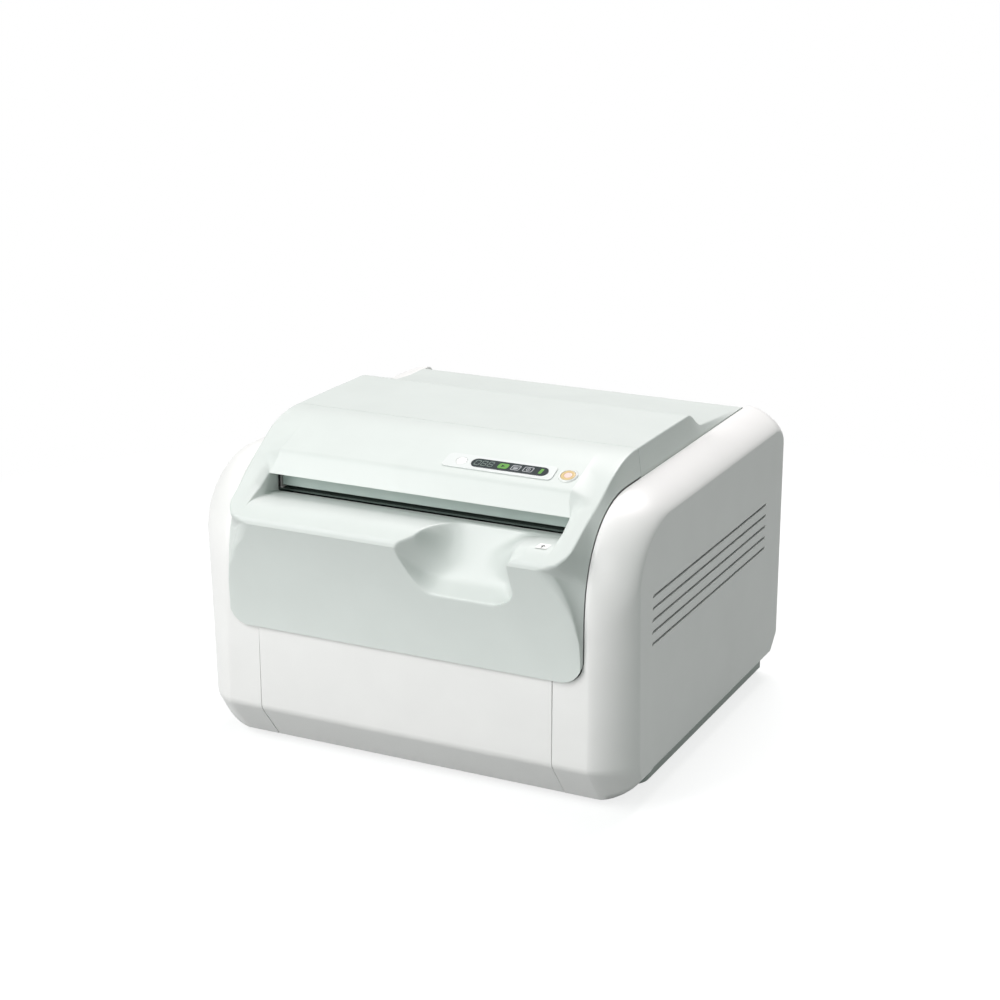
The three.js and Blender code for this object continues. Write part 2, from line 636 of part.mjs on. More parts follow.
// Fascia with its slot, shelf and finger scoop
function scoopTool(grow) {
  const x0 = scoop.left - grow;
  const x1 = scoop.right + grow;
  const z0 = scoop.floorZ - grow;
  const r = scoop.corner + grow;
  const top = caseHeight + overrun;
  const outline = [[x0, top], [x0, z0 + r]];
  for (let i = 1; i < chord.corner; i += 1) {
    const a = (i / chord.corner) * (Math.PI / 2);
    outline.push([x0 + r * (1 - Math.cos(a)), z0 + r * (1 - Math.sin(a))]);
  }
  outline.push([x0 + r, z0], [x1 - r, z0]);
  for (let i = 1; i < chord.corner; i += 1) {
    const a = (i / chord.corner) * (Math.PI / 2);
    outline.push([x1 - r * (1 - Math.sin(a)), z0 + r * (1 - Math.cos(a))]);
  }
  outline.push([x1, z0 + r], [x1, top]);
  const floor = scoop.floorSetbackShares.map((share, i) => [
    yAt(scoop.rearSetback * share + grow), shelfHeight - scoop.depth * scoop.floorDropShares[i] - grow]);
  const outlineYZ = [
    [floor[0][0], slotTopZ], [floor[0][0], shelfHeight + seam], ...floor,
    [front - overrun, z0], [front - overrun, slotTopZ],
  ];
  let tool = alongY(outline, front - overrun * 2, yAt(scoop.rearSetback) + overrun * 2)
    .intersect(alongX(outlineYZ, x0 - overrun, x1 + overrun));
  const flareZ = scoop.floorZ + scoop.flareRise;
  const flareOutline = [
    [scoop.left + grow, yAt(scoop.flareSetback) + grow], [scoop.left - scoop.flare - grow, front - overrun],
    [scoop.left + scoop.corner, front - overrun]];
  const lean = alongY([[scoop.left - scoop.flare - grow, top], [scoop.left + scoop.corner, top],
    [scoop.left + scoop.corner, flareZ - grow], [scoop.left - grow, flareZ - grow]], front - overrun * 2, 0);
  tool = tool.add(alongZ(flareOutline, flareZ - grow, slotTopZ).intersect(lean));
  return tool;
}

function pill(x0, x1, height, up) {
  return roundedRectangle(x0, x1, up - height / 2, up + height / 2, height / 2 - seat);
}

function makeFascia() {
  const outer = fasciaBody(0, closeFascia(0));
  const shell = outer.subtract(fasciaBody(wall, closeFascia(overrun)));
  const ductBack = yAt(lipSetback) + fascia.duct;
  const duct = boxSolid(-slotHalf - wall, slotHalf + wall, yAt(lipSetback) + wall / 2, ductBack,
    shelfHeight - wall, slotTopZ + wall);
  const liner = outer.intersect(scoopTool(wall));
  let body = shell.add(duct).add(liner);
  body = body.subtract(boxSolid(-slotHalf, slotHalf, yAt(lipSetback) - overrun, ductBack + overrun,
    shelfHeight, slotTopZ));
  body = body.subtract(scoopTool(0));
  const { bottomZ, corner } = fascia.apron;
  const cornerCut = boxSolid(cover.inner - corner, cover.inner + overrun, front - overrun,
    yAt(fascia.seamSetback) + overrun, bottomZ - overrun, bottomZ + corner)
    .subtract(rod('y', corner - seam, front - overrun * 2, back,
      [cover.inner - corner, bottomZ + corner - seam], chord.round));
  for (const [, sign] of sides) body = body.subtract(mirrorX(cornerCut, sign));
  const up = controls.up;
  const cuts = [
    alongZ(pill(display.left + display.shoulder, display.right - display.shoulder,
      display.height - display.shoulder * 2, up), -wall - overrun, overrun),
    rod('z', power.button + running, -wall - overrun, overrun, [power.x, up], chord.round),
    rod('z', select.button + running, -wall - overrun, overrun, [select.x, up], chord.round),
  ];
  for (const cut of cuts) body = body.subtract(inPanel(cut));
  return body;
}
add('front_fascia', makeFascia(), 'paleGreen');

// Controls on the sloping panel
function makeOverlay() {
  const o = controls.overlay;
  const low = controls.up - o.height / 2;
  const outline = roundedRectangle(o.x0, o.x1, low, low + o.height, o.corner);
  const opening = pill(display.left - seat, display.right + seat, display.height + seat * 2, controls.up);
  return alongZ(outline, seat, seat + o.thick)
    .subtract(alongZ(opening, 0, overrun))
    .subtract(rod('z', select.button + running, 0, overrun, [select.x, controls.up], chord.round));
}
add('control_overlay', makeOverlay(), 'white', panelGroup);

const displayOutline = pill(display.left, display.right, display.height, controls.up);
add('display_window', alongZ(displayOutline, seat, seat + display.thick), 'glass', panelGroup);

const bezel = rod('z', power.bezel, seat, power.bezelRise, [power.x, controls.up], chord.round)
  .subtract(rod('z', power.button + running, 0, overrun, [power.x, controls.up], chord.round));
add('power_bezel', bezel, 'paleGreen', panelGroup);

const makeButton = ({ x, button, rise, stem }) => (
  rod('z', button, -stem, rise, [x, controls.up], chord.round));
add('power_button', makeButton(power), 'amber', panelGroup);
add('select_button', makeButton(select), 'white', panelGroup);

function makeControlBoard() {
  const top = -controlBoard.depth;
  const x0 = controls.overlay.x0;
  let body = boxSolid(x0, power.x + power.bezel + controlBoard.margin, controls.up - controlBoard.height / 2,
    controls.up + controlBoard.height / 2, top - board, top);
  const post = (x, y, reach, radius) => rod('z', radius, top - seat, reach, [x, y], chord.small);
  for (const x of [x0 + controlBoard.post * 2, (display.right + power.x - power.button) / 2]) {
    body = body.add(post(x, controls.up, -wall - seat * 2, controlBoard.post));
  }
  for (const key of [power, select]) {
    body = body.add(post(key.x, controls.up, -key.stem - key.travel - seat, controlBoard.post));
  }
  return body;
}
add('control_board', makeControlBoard(), 'boardGreen', panelGroup);

// Lid
const lidRows = () => {
  const { crest, step } = lid;
  const seamSetback = fascia.seamSetback + seam;
  const crestZ = caseHeight - crest.drop;
  const rearEdge = { setback: caseDepth - lid.rearEdge.inset, z: caseHeight - lid.rearEdge.drop };
  const rearFace = { setback: caseDepth - lid.rearFace.inset, z: caseHeight - lid.rearFace.drop };
  const flatSetback = mix(seamSetback, crest.setback, lid.middleShare);
  const rows = [[seamSetback, caseHeight], [flatSetback, caseHeight], [crest.setback, crestZ]];
  for (let i = 1; i <= step.rows; i += 1) {
    const share = i / step.rows;
    const fall = (1 - Math.cos(share * Math.PI)) / 2;
    rows.push([crest.setback + step.length * share, crestZ - step.drop * fall]);
  }
  rows.push([mix(crest.setback + step.length, rearEdge.setback, lid.middleShare),
    mix(crestZ - step.drop, rearEdge.z, lid.bulgeShare)]);
  rows.push([rearEdge.setback, rearEdge.z], [rearFace.setback, rearFace.z], [rearFace.setback, skirtZ]);
  return rows;
};

function lidBody(inset, extra) {
  const rows = lidRows();
  const arm = shifted(rows.map(([s, z]) => [yAt(s), z]), inset);
  const proud = seam * 2;
  const edge = shifted(rows.map(([s, z]) => [yAt(s), Math.min(z, cover.innerFace.top + proud)]), inset);
  const close = (ring) => {
    const last = ring.length - 1;
    const y = ring[0][1];
    const bottom = skirtZ - extra;
    return [...ring.slice(0, last), [ring[last][0], ring[last][1], bottom], [ring[0][0], y, bottom]];
  };
  const start = fascia.half - fascia.turn.arm;
  const rings = turnShares.map((share) => {
    const [across, backward] = sweep(share, fascia.turn.power);
    const fall = share === 1 ? 1 : backward;
    return close(arm.map(([y, z], row) => [mix(start, fascia.half - inset, across),
      mix(y, edge[row][0], fall) + (row === 0 ? inset : 0), mix(z, edge[row][1], fall)]));
  });
  return loft([...rings.map((ring) => ring.map(([x, y, z]) => [-x, y, z])).reverse(), ...rings]);
}

function makeLid() {
  let body = lidBody(0, 0).subtract(lidBody(wall, overrun));
  const y = back - lidHinge.inset;
  const earTop = caseHeight - lid.rearEdge.drop - wall / 2;
  const r = lidHinge.boss;
  for (const [, sign] of sides) {
    const x1 = lidHingeX + lidHinge.ear;
    const ear = alongX([
      [y - r, lidHinge.z - r / 2], [y - r / 2, lidHinge.z - r], [y + r / 2, lidHinge.z - r],
      [y + r, lidHinge.z - r / 2], [y + r, earTop], [y - r, earTop],
    ], lidHingeX, x1);
    const bore = rod('x', lidHinge.pin + seat, lidHingeX - overrun / 2, x1 + overrun / 2, [y, lidHinge.z]);
    body = body.add(mirrorX(ear, sign)).subtract(mirrorX(bore, sign));
  }
  return body;
}
add('top_lid', makeLid(), 'paleGreen');

// Front door
function makeDoor() {
  const topZ = fascia.apron.bottomZ - seam * 2;
  const face = [
    [yAt(door.footSetback), door.footZ], [yAt(door.kinkSetback), door.kinkZ], [yAt(door.topSetback), topZ],
  ];
  const inner = shifted(face, wall);
  const shellOutline = [...face, [yAt(door.topSetback) + door.depth, topZ],
    [yAt(door.kinkSetback) + door.depth, door.kinkZ + wall], [yAt(door.footSetback) + wall * 2, door.footZ]];
  const hollow = [[inner[0][0] + wall, door.footZ - overrun], [inner[0][0] + door.heel, door.footZ + wall],
    inner[1], [inner[2][0], topZ - wall],
    [yAt(door.topSetback) + door.depth + overrun, topZ - wall],
    [yAt(door.footSetback) + wall * 2 + overrun, door.footZ - overrun]];
  let body = alongX(shellOutline, -door.half, door.half)
    .subtract(alongX(hollow, wall - door.half, door.half - wall));
  const y = yAt(doorHinge.setback);
  const z = doorHinge.z;
  const r = doorHinge.boss;
  for (const [, sign] of sides) {
    const x0 = doorHingeX + doorHinge.ear + running;
    const x1 = x0 + doorHinge.ear;
    const ear = alongX([
      [inner[0][0] - wall / 2, door.footZ + wall / 2], [y, z - r],
      [y + doorHinge.tuck, z - doorHinge.tuck], [y + r, z], [y + doorHinge.tuck, z + doorHinge.tuck],
      [y, z + r], [yAt(door.kinkSetback) + door.depth / 2, door.kinkZ],
      [inner[1][0] - wall / 2, door.kinkZ - wall],
    ], x0, x1);
    const bore = rod('x', doorHinge.pin + seat, x0 - overrun / 2, x1 + overrun / 2, [y, z]);
    body = body.add(mirrorX(ear, sign)).subtract(mirrorX(bore, sign));
    const notch = boxSolid(latch.x - latch.width / 2 - running, latch.x + latch.width / 2 + running,
      yAt(door.topSetback) + wall, yAt(door.topSetback) + door.depth + overrun,
      topZ - wall - overrun, topZ + overrun);
    body = body.subtract(mirrorX(notch, sign));
  }
  return body;
}
add('front_door', makeDoor(), 'white');

for (const [name, sign] of sides) {
  const x0 = doorHingeX - seat * 2;
  const x1 = doorHingeX + doorHinge.ear * 2 + running + seat * 2;
  const pin = rod('x', doorHinge.pin, x0, x1, [yAt(doorHinge.setback), doorHinge.z]);
  add(`door_pin_${name}`, mirrorX(pin, sign), 'brightSteel');
}

// Spring catches that hold the door under the apron
for (const [name, sign] of sides) {
  const base = fascia.apron.bottomZ;
  const faceY = yAt(fascia.apron.rake) + wall + seat;
  const backY = yAt(door.topSetback) + wall + seat;
  const hook = alongX([
    [faceY, base + seat * 2], [backY, base + seat * 2], [backY, base - latch.down],
    [backY + latch.depth, base - latch.down], [backY + latch.depth, base + latch.up],
    [faceY, base + latch.up],
  ], latch.x - latch.width / 2, latch.x + latch.width / 2);
  add(`door_catch_${name}`, mirrorX(hook, sign), 'black');
}

// Rear panel
function makeRearPanel() {
  const y0 = rearFace - sheet;
  const half = fascia.half - rear.gap;
  const bottom = plinthBottom + plinth.height + seat;
  let body = alongY(roundedRectangle(-half, half, bottom, skirtZ - rear.topGap, wall), y0, rearFace);
  const hole = (p) => boxSolid(p.x - p.half - seat, p.x + p.half + seat, y0 - overrun, rearFace + overrun,
    p.z - p.height / 2 - seat, p.z + p.height / 2 + seat);
  for (const fitted of [inlet, rocker, port]) body = body.subtract(hole(fitted));
  const pitch = (fan.tip * 2) / fan.slots;
  for (let i = 0; i < fan.slots; i += 1) {
    const z = fan.z - fan.tip + pitch * (i + 0.5);
    const reach = Math.sqrt(Math.max(fan.tip ** 2 - (z - fan.z) ** 2, 0));
    body = body.subtract(boxSolid(fan.x - reach, fan.x + reach, y0 - overrun, rearFace + overrun,
      z - pitch * fan.slotShare, z + pitch * fan.slotShare));
  }
  return body;
}
add('rear_panel', makeRearPanel(), 'grey');

// Side plates of the frame
const shaftHoles = [driveY, pinchY].flatMap((y) => [upperZ, lowerZ].map((z) => [y, z]));

function makeFramePlate(sign) {
  const bottom = plinthFloor + seat;
  const top = shelfHeight + frame.topRise;
  const hornTop = flapZ + frame.horn;
  const tabTop = lidHinge.z + frame.tab;
  const tabFoot = lidHinge.z - lidHinge.boss;
  const tabRear = frameRear - frame.relief;
  const outline = [
    [frameFront, bottom + plinth.height * 2], [plinthFrontY - plinth.height, bottom + plinth.height],
    [plinthFrontY + frame.toe, bottom + plinth.height - seat], [plinthFrontY + frame.toe, bottom],
    [frameRear, bottom], [frameRear, tabFoot], [tabRear, tabFoot],
    [tabRear, tabTop - frame.chamfer], [frameRear - frame.chamfer, tabTop],
    [frameRear - frame.tabDepth, tabTop], [frameRear - frame.tabDepth, top],
    [frameFront + frame.hornDepth, top], [frameFront + frame.hornDepth, hornTop - wall],
    [frameFront + frame.hornDepth / 2, hornTop], [frameFront - frame.hornDepth / 2, hornTop - wall],
    [frameFront - frame.hornDepth / 2, top - wall], [frameFront, top - wall * 3],
  ];
  let body = alongX(outline, frameX, frameX + sheet);
  const bore = (radius, y, z) => rod('x', radius, frameX - overrun, frameX + sheet + overrun, [y, z]);
  for (const [y, z] of shaftHoles) body = body.subtract(bore(roller.shaft + seat, y, z));
  body = body.subtract(bore(flap.pin + seat, flapY, flapZ));
  body = body.subtract(bore(pickup.pin + seat, pickupY, pickupZ));
  body = body.add(rod('x', lidHinge.pin, frameX + sheet / 2, lidHingeX + lidHinge.ear + seat,
    [back - lidHinge.inset, lidHinge.z]));
  if (sign < 0) body = body.subtract(bore(motor.shaft + running, motorY, lowerZ));
  return mirrorX(body, sign);
}
for (const [name, sign] of sides) add(`frame_plate_${name}`, makeFramePlate(sign), 'steel');

const channel = (y0, z0, openBack) => {
  const y1 = y0 + beam.depth;
  const z1 = z0 + beam.height;
  const hollow = openBack ? [y0 + sheet, y1 + overrun] : [y0 - overrun, y1 - sheet];
  return boxSolid(-betweenPlates, betweenPlates, y0, y1, z0, z1)
    .subtract(boxSolid(-betweenPlates - overrun, betweenPlates + overrun, ...hollow, z0 + sheet, z1 - sheet));
};
add('front_beam', channel(frameFront + sheet, trayTop - beam.frontDrop, true), 'steel');
add('rear_beam', channel(frameRear - beam.depth - sheet, upperZ - beam.rearDrop, false), 'steel');

// Cassette bay
const trayFront = frameFront + tray.lead;
const trayRear = yAt(lipSetback) + cassette.length;
function makeTray() {
  const w = tray.window;
  let body = boxSolid(-betweenPlates, betweenPlates, trayFront, trayRear, trayTop - sheet, trayTop);
  for (const [, sign] of sides) {
    body = body.add(mirrorX(boxSolid(betweenPlates - sheet, betweenPlates, trayFront, trayRear,
      trayTop - tray.flange, trayTop), sign));
  }
  return body.subtract(boxSolid(-w.half, w.half, yAt(w.frontSetback), yAt(w.rearSetback), trayTop - overrun,
    trayTop + overrun))
    .subtract(boxSolid(-rollerHalf - overrun, rollerHalf + overrun, pathY - roller.radius / 2,
      pathY + roller.radius / 2, trayTop - overrun, trayTop + overrun));
}
add('cassette_tray', makeTray(), 'steel');

for (const [name, sign] of sides) {
  const rail = boxSolid(slotHalf + seat, slotHalf + seat + guide.thick, trayFront, trayRear, trayTop + seat,
    trayTop + guide.height);
  add(`cassette_guide_${name}`, mirrorX(rail, sign), 'white');
}

function makeFlap() {
  const half = slotHalf - flap.inset;
  const blade = boxSolid(-half, half, flapY - flap.thick / 2, flapY + flap.thick / 2,
    flapZ - flap.length, flapZ);
  return rod('x', flap.pin, -frameX - sheet, frameX + sheet, [flapY, flapZ]).add(blade);
}
add('slot_flap', makeFlap(), 'grey');

// Pickup arm: a bail with two cups that reaches through the tray's window
function makePickup() {
  const y0 = pickupY - pickup.reach;
  let body = rod('x', pickup.pin, -frameX - sheet, frameX + sheet, [pickupY, pickupZ]);
  const b = pickup.bar / 2;
  body = body.add(boxSolid(-pickup.half, pickup.half, y0 - b, y0 + b, pickupZ - b, pickupZ + b));
  for (const [, sign] of sides) {
    body = body.add(mirrorX(boxSolid(pickup.half - pickup.bar, pickup.half, y0 - b, pickupY + b,
      pickupZ - b, pickupZ + b), sign));
  }
  return body;
}
add('pickup_arm', makePickup(), 'cast');

for (const [name, sign] of sides) {
  const base = pickupZ + pickup.bar / 2 + seat;
  const profile = cupShares.map(([r, h]) => new THREE.Vector2(r * pickup.cup, h * pickup.cupHeight));
  const cup = new THREE.LatheGeometry(profile, chord.small);
  cup.rotateX(Math.PI / 2).translate(sign * pickup.cupX, pickupY - pickup.reach, base);
  add(`suction_cup_${name}`, solid(cup), 'rubber');
}

// Transport rollers, pulleys, belt and motor
const pulleyX = frameX + sheet + pulley.off;
const shortEnd = -frameX - sheet - running;
const longEnd = -pulleyX - pulley.width / 2 - running;

function makeRoller(y, z, leftEnd) {
  return rod('x', roller.radius, -rollerHalf, rollerHalf, [y, z], chord.round)
    .add(rod('x', roller.shaft, leftEnd, -shortEnd, [y, z]));
}
add('feed_roller_upper', makeRoller(driveY, upperZ, longEnd), 'rubber');
add('feed_roller_lower', makeRoller(driveY, lowerZ, longEnd), 'rubber');
add('pinch_roller_upper', makeRoller(pinchY, upperZ, shortEnd), 'rubber');
add('pinch_roller_lower', makeRoller(pinchY, lowerZ, shortEnd), 'rubber');

function makePulley(radius, bore, y, z) {
  const x0 = -pulleyX - pulley.width / 2;
  const x1 = -pulleyX + pulley.width / 2;
  return rod('x', radius, x0, x1, [y, z], chord.round)
    .subtract(rod('x', bore + seat, x0 - overrun, x1 + overrun, [y, z]));
}
const pulleys = [
  { name: 'upper_pulley', y: driveY, z: upperZ, radius: pulley.roller, bore: roller.shaft },
  { name: 'motor_pulley', y: motorY, z: lowerZ, radius: pulley.motor, bore: motor.shaft },
  { name: 'lower_pulley', y: driveY, z: lowerZ, radius: pulley.roller, bore: roller.shaft },
];
for (const p of pulleys) add(p.name, makePulley(p.radius, p.bore, p.y, p.z), 'cast');

// Taut outline round the pulleys, outside them by a margin
function beltOutline(margin) {
  const points = [];
  pulleys.forEach((p, i) => {
    const before = pulleys[(i + pulleys.length - 1) % pulleys.length];
    const after = pulleys[(i + 1) % pulleys.length];
    const leave = (from, to) => {
      const span = Math.hypot(to.y - from.y, to.z - from.z);
      const lean = Math.asin((from.radius - to.radius) / span);
      return Math.atan2(to.z - from.z, to.y - from.y) - Math.PI / 2 - lean;
    };
    const a0 = leave(before, p);
    let a1 = leave(p, after);
    while (a1 < a0) a1 += Math.PI * 2;
    for (let k = 0; k <= chord.corner; k += 1) {
      const a = mix(a0, a1, k / chord.corner);
      const r = (p.radius + margin) / Math.cos((a1 - a0) / chord.corner / 2);
      points.push([p.y + r * Math.cos(a), p.z + r * Math.sin(a)]);
    }
  });
  return points;
}
const beltHalf = pulley.width / 2 - running;
add('drive_belt', alongX(beltOutline(seat + pulley.belt), -pulleyX - beltHalf, -pulleyX + beltHalf,
  [beltOutline(seat)]), 'black');

function makeMotor() {
  const x0 = -betweenPlates;
  return rod('x', motor.radius, x0, x0 + motor.length, [motorY, lowerZ], chord.round)
    .add(boxSolid(x0, x0 + motor.plate, motorY - motor.radius, motorY + motor.radius,
      lowerZ - motor.radius, lowerZ + motor.radius))
    .add(rod('x', motor.shaft, longEnd, x0 + overrun, [motorY, lowerZ]));
}
add('feed_motor', makeMotor(), 'black');

// Guide that turns the plate from down to forward, and the lamps that clear it
function makeTurnGuide() {
  const cy = pathY - turn.radius + turn.thick;
  const cz = lowerZ - turn.drop;
  const outline = [];
  for (const r of [turn.radius, turn.radius - turn.thick]) {
    const arc = [];
    for (let i = 0; i <= chord.corner; i += 1) {
      const a = -(i / chord.corner) * (Math.PI / 2);
      arc.push([cy + r * Math.cos(a), cz + r * Math.sin(a)]);
    }
    outline.push(...(r === turn.radius ? arc : arc.reverse()));
  }
  return alongX(outline, -betweenPlates, betweenPlates);
}
add('turn_guide', makeTurnGuide(), 'steel');

function makeEraser() {
  const e = eraser;
  const y = pathY - e.lead;
  const y0 = y - e.depth / 2;
  const y1 = y + e.depth / 2;
  const top = lowerZ - e.drop;
  let body = boxSolid(-betweenPlates, betweenPlates, y0, y1, top - e.height, top)
    .subtract(boxSolid(e.wall - betweenPlates, betweenPlates - e.wall, y0 + e.wall, y1 - e.wall,
      top - e.height - overrun, top - e.wall));
  const pitch = (betweenPlates * 2) / (e.lamps + 1);
  for (let i = 1; i <= e.lamps; i += 1) {
    const x = pitch * i - betweenPlates;
    body = body.add(rod('z', e.lamp, top - e.wall - e.lamp, top - e.wall / 2, [x, y], chord.corner));
  }
  return body;
}
add('eraser_lamps', makeEraser(), 'steel');

// Optics on their shelf
const opticsShelfRear = pathY - opticsShelf.lead;
add('optics_shelf', boxSolid(-betweenPlates, betweenPlates, opticsShelfRear - opticsShelf.depth,
  opticsShelfRear, opticsZ, opticsZ + sheet), 'steel');

const opticsBottom = opticsZ + sheet + optics.lift;
const opticsFloor = opticsBottom + optics.wall;
function makeOpticsHousing() {
  const o = optics;
  const y1 = pathY - o.lead;
  const y0 = y1 - o.depth;
  const outer = roundedRectangle(-o.half, o.half, y0, y1, o.wall * 3);
  const inner = roundedRectangle(o.wall - o.half, o.half - o.wall, y0 + o.wall, y1 - o.wall, o.wall * 2);
  const slitZ = opticsFloor + spinner.motorHeight + spinner.height / 2;
  return alongZ(outer, opticsBottom, opticsBottom + o.height)
    .subtract(alongZ(inner, opticsFloor, opticsBottom + o.height + overrun))
    .subtract(boxSolid(-o.slitHalf, o.slitHalf, y1 - overrun, y1 + overrun,
      slitZ - o.slit / 2, slitZ + o.slit / 2));
}
add('optics_housing', makeOpticsHousing(), 'black');

const spinBase = opticsFloor + seat;
const spinnerY = pathY - spinner.lead;
const spinTop = spinBase + spinner.motorHeight;
const mirrorBase = spinTop + spinner.gap / 2;
add('mirror_motor', rod('z', spinner.motorRadius, spinBase, spinTop, [0, spinnerY], chord.round), 'cast');
add('polygon_mirror', rod('z', spinner.radius, mirrorBase, mirrorBase + spinner.height, [0, spinnerY],
  spinner.sides), 'brightSteel');

function makeLaser() {
  const z = spinBase + spinner.motorHeight + spinner.height / 2;
  const x1 = laser.x + laser.length / 2;
  return rod('x', laser.radius, laser.x - laser.length / 2, x1, [spinnerY, z], chord.round)
    .add(boxSolid(laser.x - laser.length / 4, laser.x + laser.length / 4, spinnerY - laser.radius,
      spinnerY + laser.radius, spinBase, z));
}
add('laser_module', makeLaser(), 'brightSteel');

function makeLens() {
  const y = pathY - lens.lead;
  const rear = [];
  const steps = chord.corner * 2;
  for (let i = 0; i <= steps; i += 1) {
    const u = (i / steps) * 2 - 1;
    rear.push([u * lens.half, y + lens.depth - lens.sag * u * u]);
  }
  return alongZ([[-lens.half, y], ...rear.slice(1), [lens.half, y]], spinBase,
    spinBase + spinner.motorHeight + lens.height);
}
add('scan_lens', makeLens(), 'clear');

const foldMirrorY = pathY - foldMirror.lead;
add('fold_mirror', boxSolid(-foldMirror.half, foldMirror.half, foldMirrorY, foldMirrorY + foldMirror.depth,
  spinBase, spinBase + foldMirror.height), 'glass');

const detectorZ = opticsZ - detector.radius - seat;
const guideHalf = rollerHalf + lightGuide.spread;
const guideFront = pathY - lightGuide.lead;
add('light_guide', alongZ([
  [-guideHalf, pinchY - roller.radius + lightGuide.gap], [-lightGuide.neck, guideFront],
  [lightGuide.neck, guideFront], [guideHalf, pinchY - roller.radius + lightGuide.gap],
  [guideHalf, pathY - plateThick - lightGuide.gap], [-guideHalf, pathY - plateThick - lightGuide.gap],
], detectorZ - lightGuide.thick / 2, detectorZ + lightGuide.thick / 2), 'clear');
add('photomultiplier', rod('y', detector.radius, guideFront - seat - detector.length, guideFront - seat,
  [0, detectorZ], chord.round), 'brightSteel');

// Power supply and main board on the plinth's floor
const floorSeat = plinthFloor + seat;
function makeSupply() {
  const x1 = betweenPlates - supply.inset;
  const y0 = yAt(supply.setback);
  return boxSolid(x1 - supply.half * 2, x1, y0, y0 + supply.depth, floorSeat, floorSeat + supply.height);
}
add('power_supply', makeSupply(), 'steel');

function makeMainBoard() {
  const m = mainBoard;
  const x0 = m.inset - betweenPlates;
  const x1 = betweenPlates - supply.inset - supply.half * 2 - m.gap;
  const y0 = yAt(m.setback);
  const y1 = y0 + m.depth;
  const z0 = floorSeat + m.standoff;
  let body = boxSolid(x0, x1, y0, y1, z0, z0 + board);
  for (const x of [x0 + m.postInset, x1 - m.postInset]) {
    for (const y of [y0 + m.postInset, y1 - m.postInset]) {
      body = body.add(rod('z', m.post, floorSeat, z0 + board / 2, [x, y]));
    }
  }
  for (const [u, v, w, d, h] of chipShares) {
    const x = mix(x0, x1, u);
    const y = mix(y0, y1, v);
    const half = ((x1 - x0) * w) / 2;
    body = body.add(boxSolid(x - half, x + half, y - (m.depth * d) / 2, y + (m.depth * d) / 2,
      z0 + board / 2, z0 + board * h));
  }
  return body;
}
add('main_board', makeMainBoard(), 'boardGreen');

// Fan behind the grille
const fanRear = rearFace - sheet - seat;
function makeFanFrame() {
  const y0 = fanRear - fan.depth;
  const { x, z, half } = fan;
  const outline = roundedRectangle(x - half, x + half, z - half, z + half, wall);
  const hub = rod('y', fan.hub, y0, y0 + wall, [fan.x, fan.z], chord.round);
  let spokes = hub;
  for (let i = 0; i < 3; i += 1) {
    const bar = boxSolid(fan.hub - wall, fan.tip + wall, y0, y0 + wall, -wall / 2, wall / 2)
      .rotate([0, (i * 360) / 3, 0]).translate([fan.x, 0, fan.z]);
    spokes = spokes.add(bar);
  }
  return alongY(outline, y0, fanRear)
    .subtract(rod('y', fan.tip + running * 3, y0 - overrun, fanRear + overrun, [fan.x, fan.z], chord.round))
    .add(spokes);
}
add('fan_frame', makeFanFrame(), 'black');

function makeFanRotor() {
  const y0 = fanRear - fan.depth + wall + seat;
  const y1 = fanRear - wall;
  let body = rod('y', fan.hub, y0, y1, [0, 0], chord.round);
  for (let i = 0; i < fan.blades; i += 1) {
    const blade = boxSolid(fan.hub - wall, fan.tip - running, -(y1 - y0) / 2 + wall, (y1 - y0) / 2 - wall,
      -fan.blade / 2, fan.blade / 2)
      .rotate([THREE.MathUtils.radToDeg(fan.twist), 0, 0]).translate([0, (y0 + y1) / 2, 0])
      .rotate([0, (i * 360) / fan.blades, 0]);
    body = body.add(blade);
  }
  return body.translate([fan.x, 0, fan.z]);
}
add('fan_rotor', makeFanRotor(), 'black');

// Fittings in the rear panel
function fitting(p, rim) {
  return boxSolid(p.x - p.half, p.x + p.half, rearFace - p.depth, rearFace + seat + rim, p.z - p.height / 2,
    p.z + p.height / 2)
    .add(boxSolid(p.x - p.half - rim, p.x + p.half + rim, rearFace + seat, rearFace + seat + rim,
      p.z - p.height / 2 - rim, p.z + p.height / 2 + rim));
}
function makeInlet() {
  const c = inlet.cavity;
  const faceY = rearFace + seat + inlet.lip;
  const cavity = boxSolid(inlet.x - inlet.half + c, inlet.x + inlet.half - c, faceY - inlet.cavityDepth,
    faceY + overrun, inlet.z - inlet.height / 2 + c, inlet.z + inlet.height / 2 - c);
  let body = fitting(inlet, inlet.lip).subtract(cavity);
  for (const [dx, dz] of pinShares) {
    const x = inlet.x + inlet.half * dx;
    const z = inlet.z + inlet.height * dz;
    const y1 = faceY - c;
    body = body.add(boxSolid(x - inlet.pin, x + inlet.pin, y1 - inlet.pinLength, y1, z - c, z + c));
  }
  return body;
}
add('mains_inlet', makeInlet(), 'black');

const rockerY = rearFace + seat;
function makeRockerFrame() {
  return fitting(rocker, rocker.frame)
    .subtract(boxSolid(rocker.x - rocker.half + rocker.frame, rocker.x + rocker.half - rocker.frame,
      rockerY - rocker.depth / 2, rockerY + overrun, rocker.z - rocker.height / 2 + rocker.frame,
      rocker.z + rocker.height / 2 - rocker.frame));
}
add('switch_frame', makeRockerFrame(), 'black');

function makeRocker() {
  const h = rocker.height / 2 - rocker.frame - rocker.play;
  const w = rocker.half - rocker.frame - seat;
  const y = rockerY;
  return alongX([
    [y - rocker.crown, rocker.z], [y + rocker.frame - rocker.crown * 2, rocker.z - h],
    [y + rocker.frame, rocker.z - h], [y + rocker.frame + rocker.low, rocker.z],
    [y + rocker.frame + rocker.high, rocker.z + h], [y + rocker.crown / 2, rocker.z + h],
  ].reverse(), rocker.x - w, rocker.x + w);
}
add('power_rocker', makeRocker(), 'black');

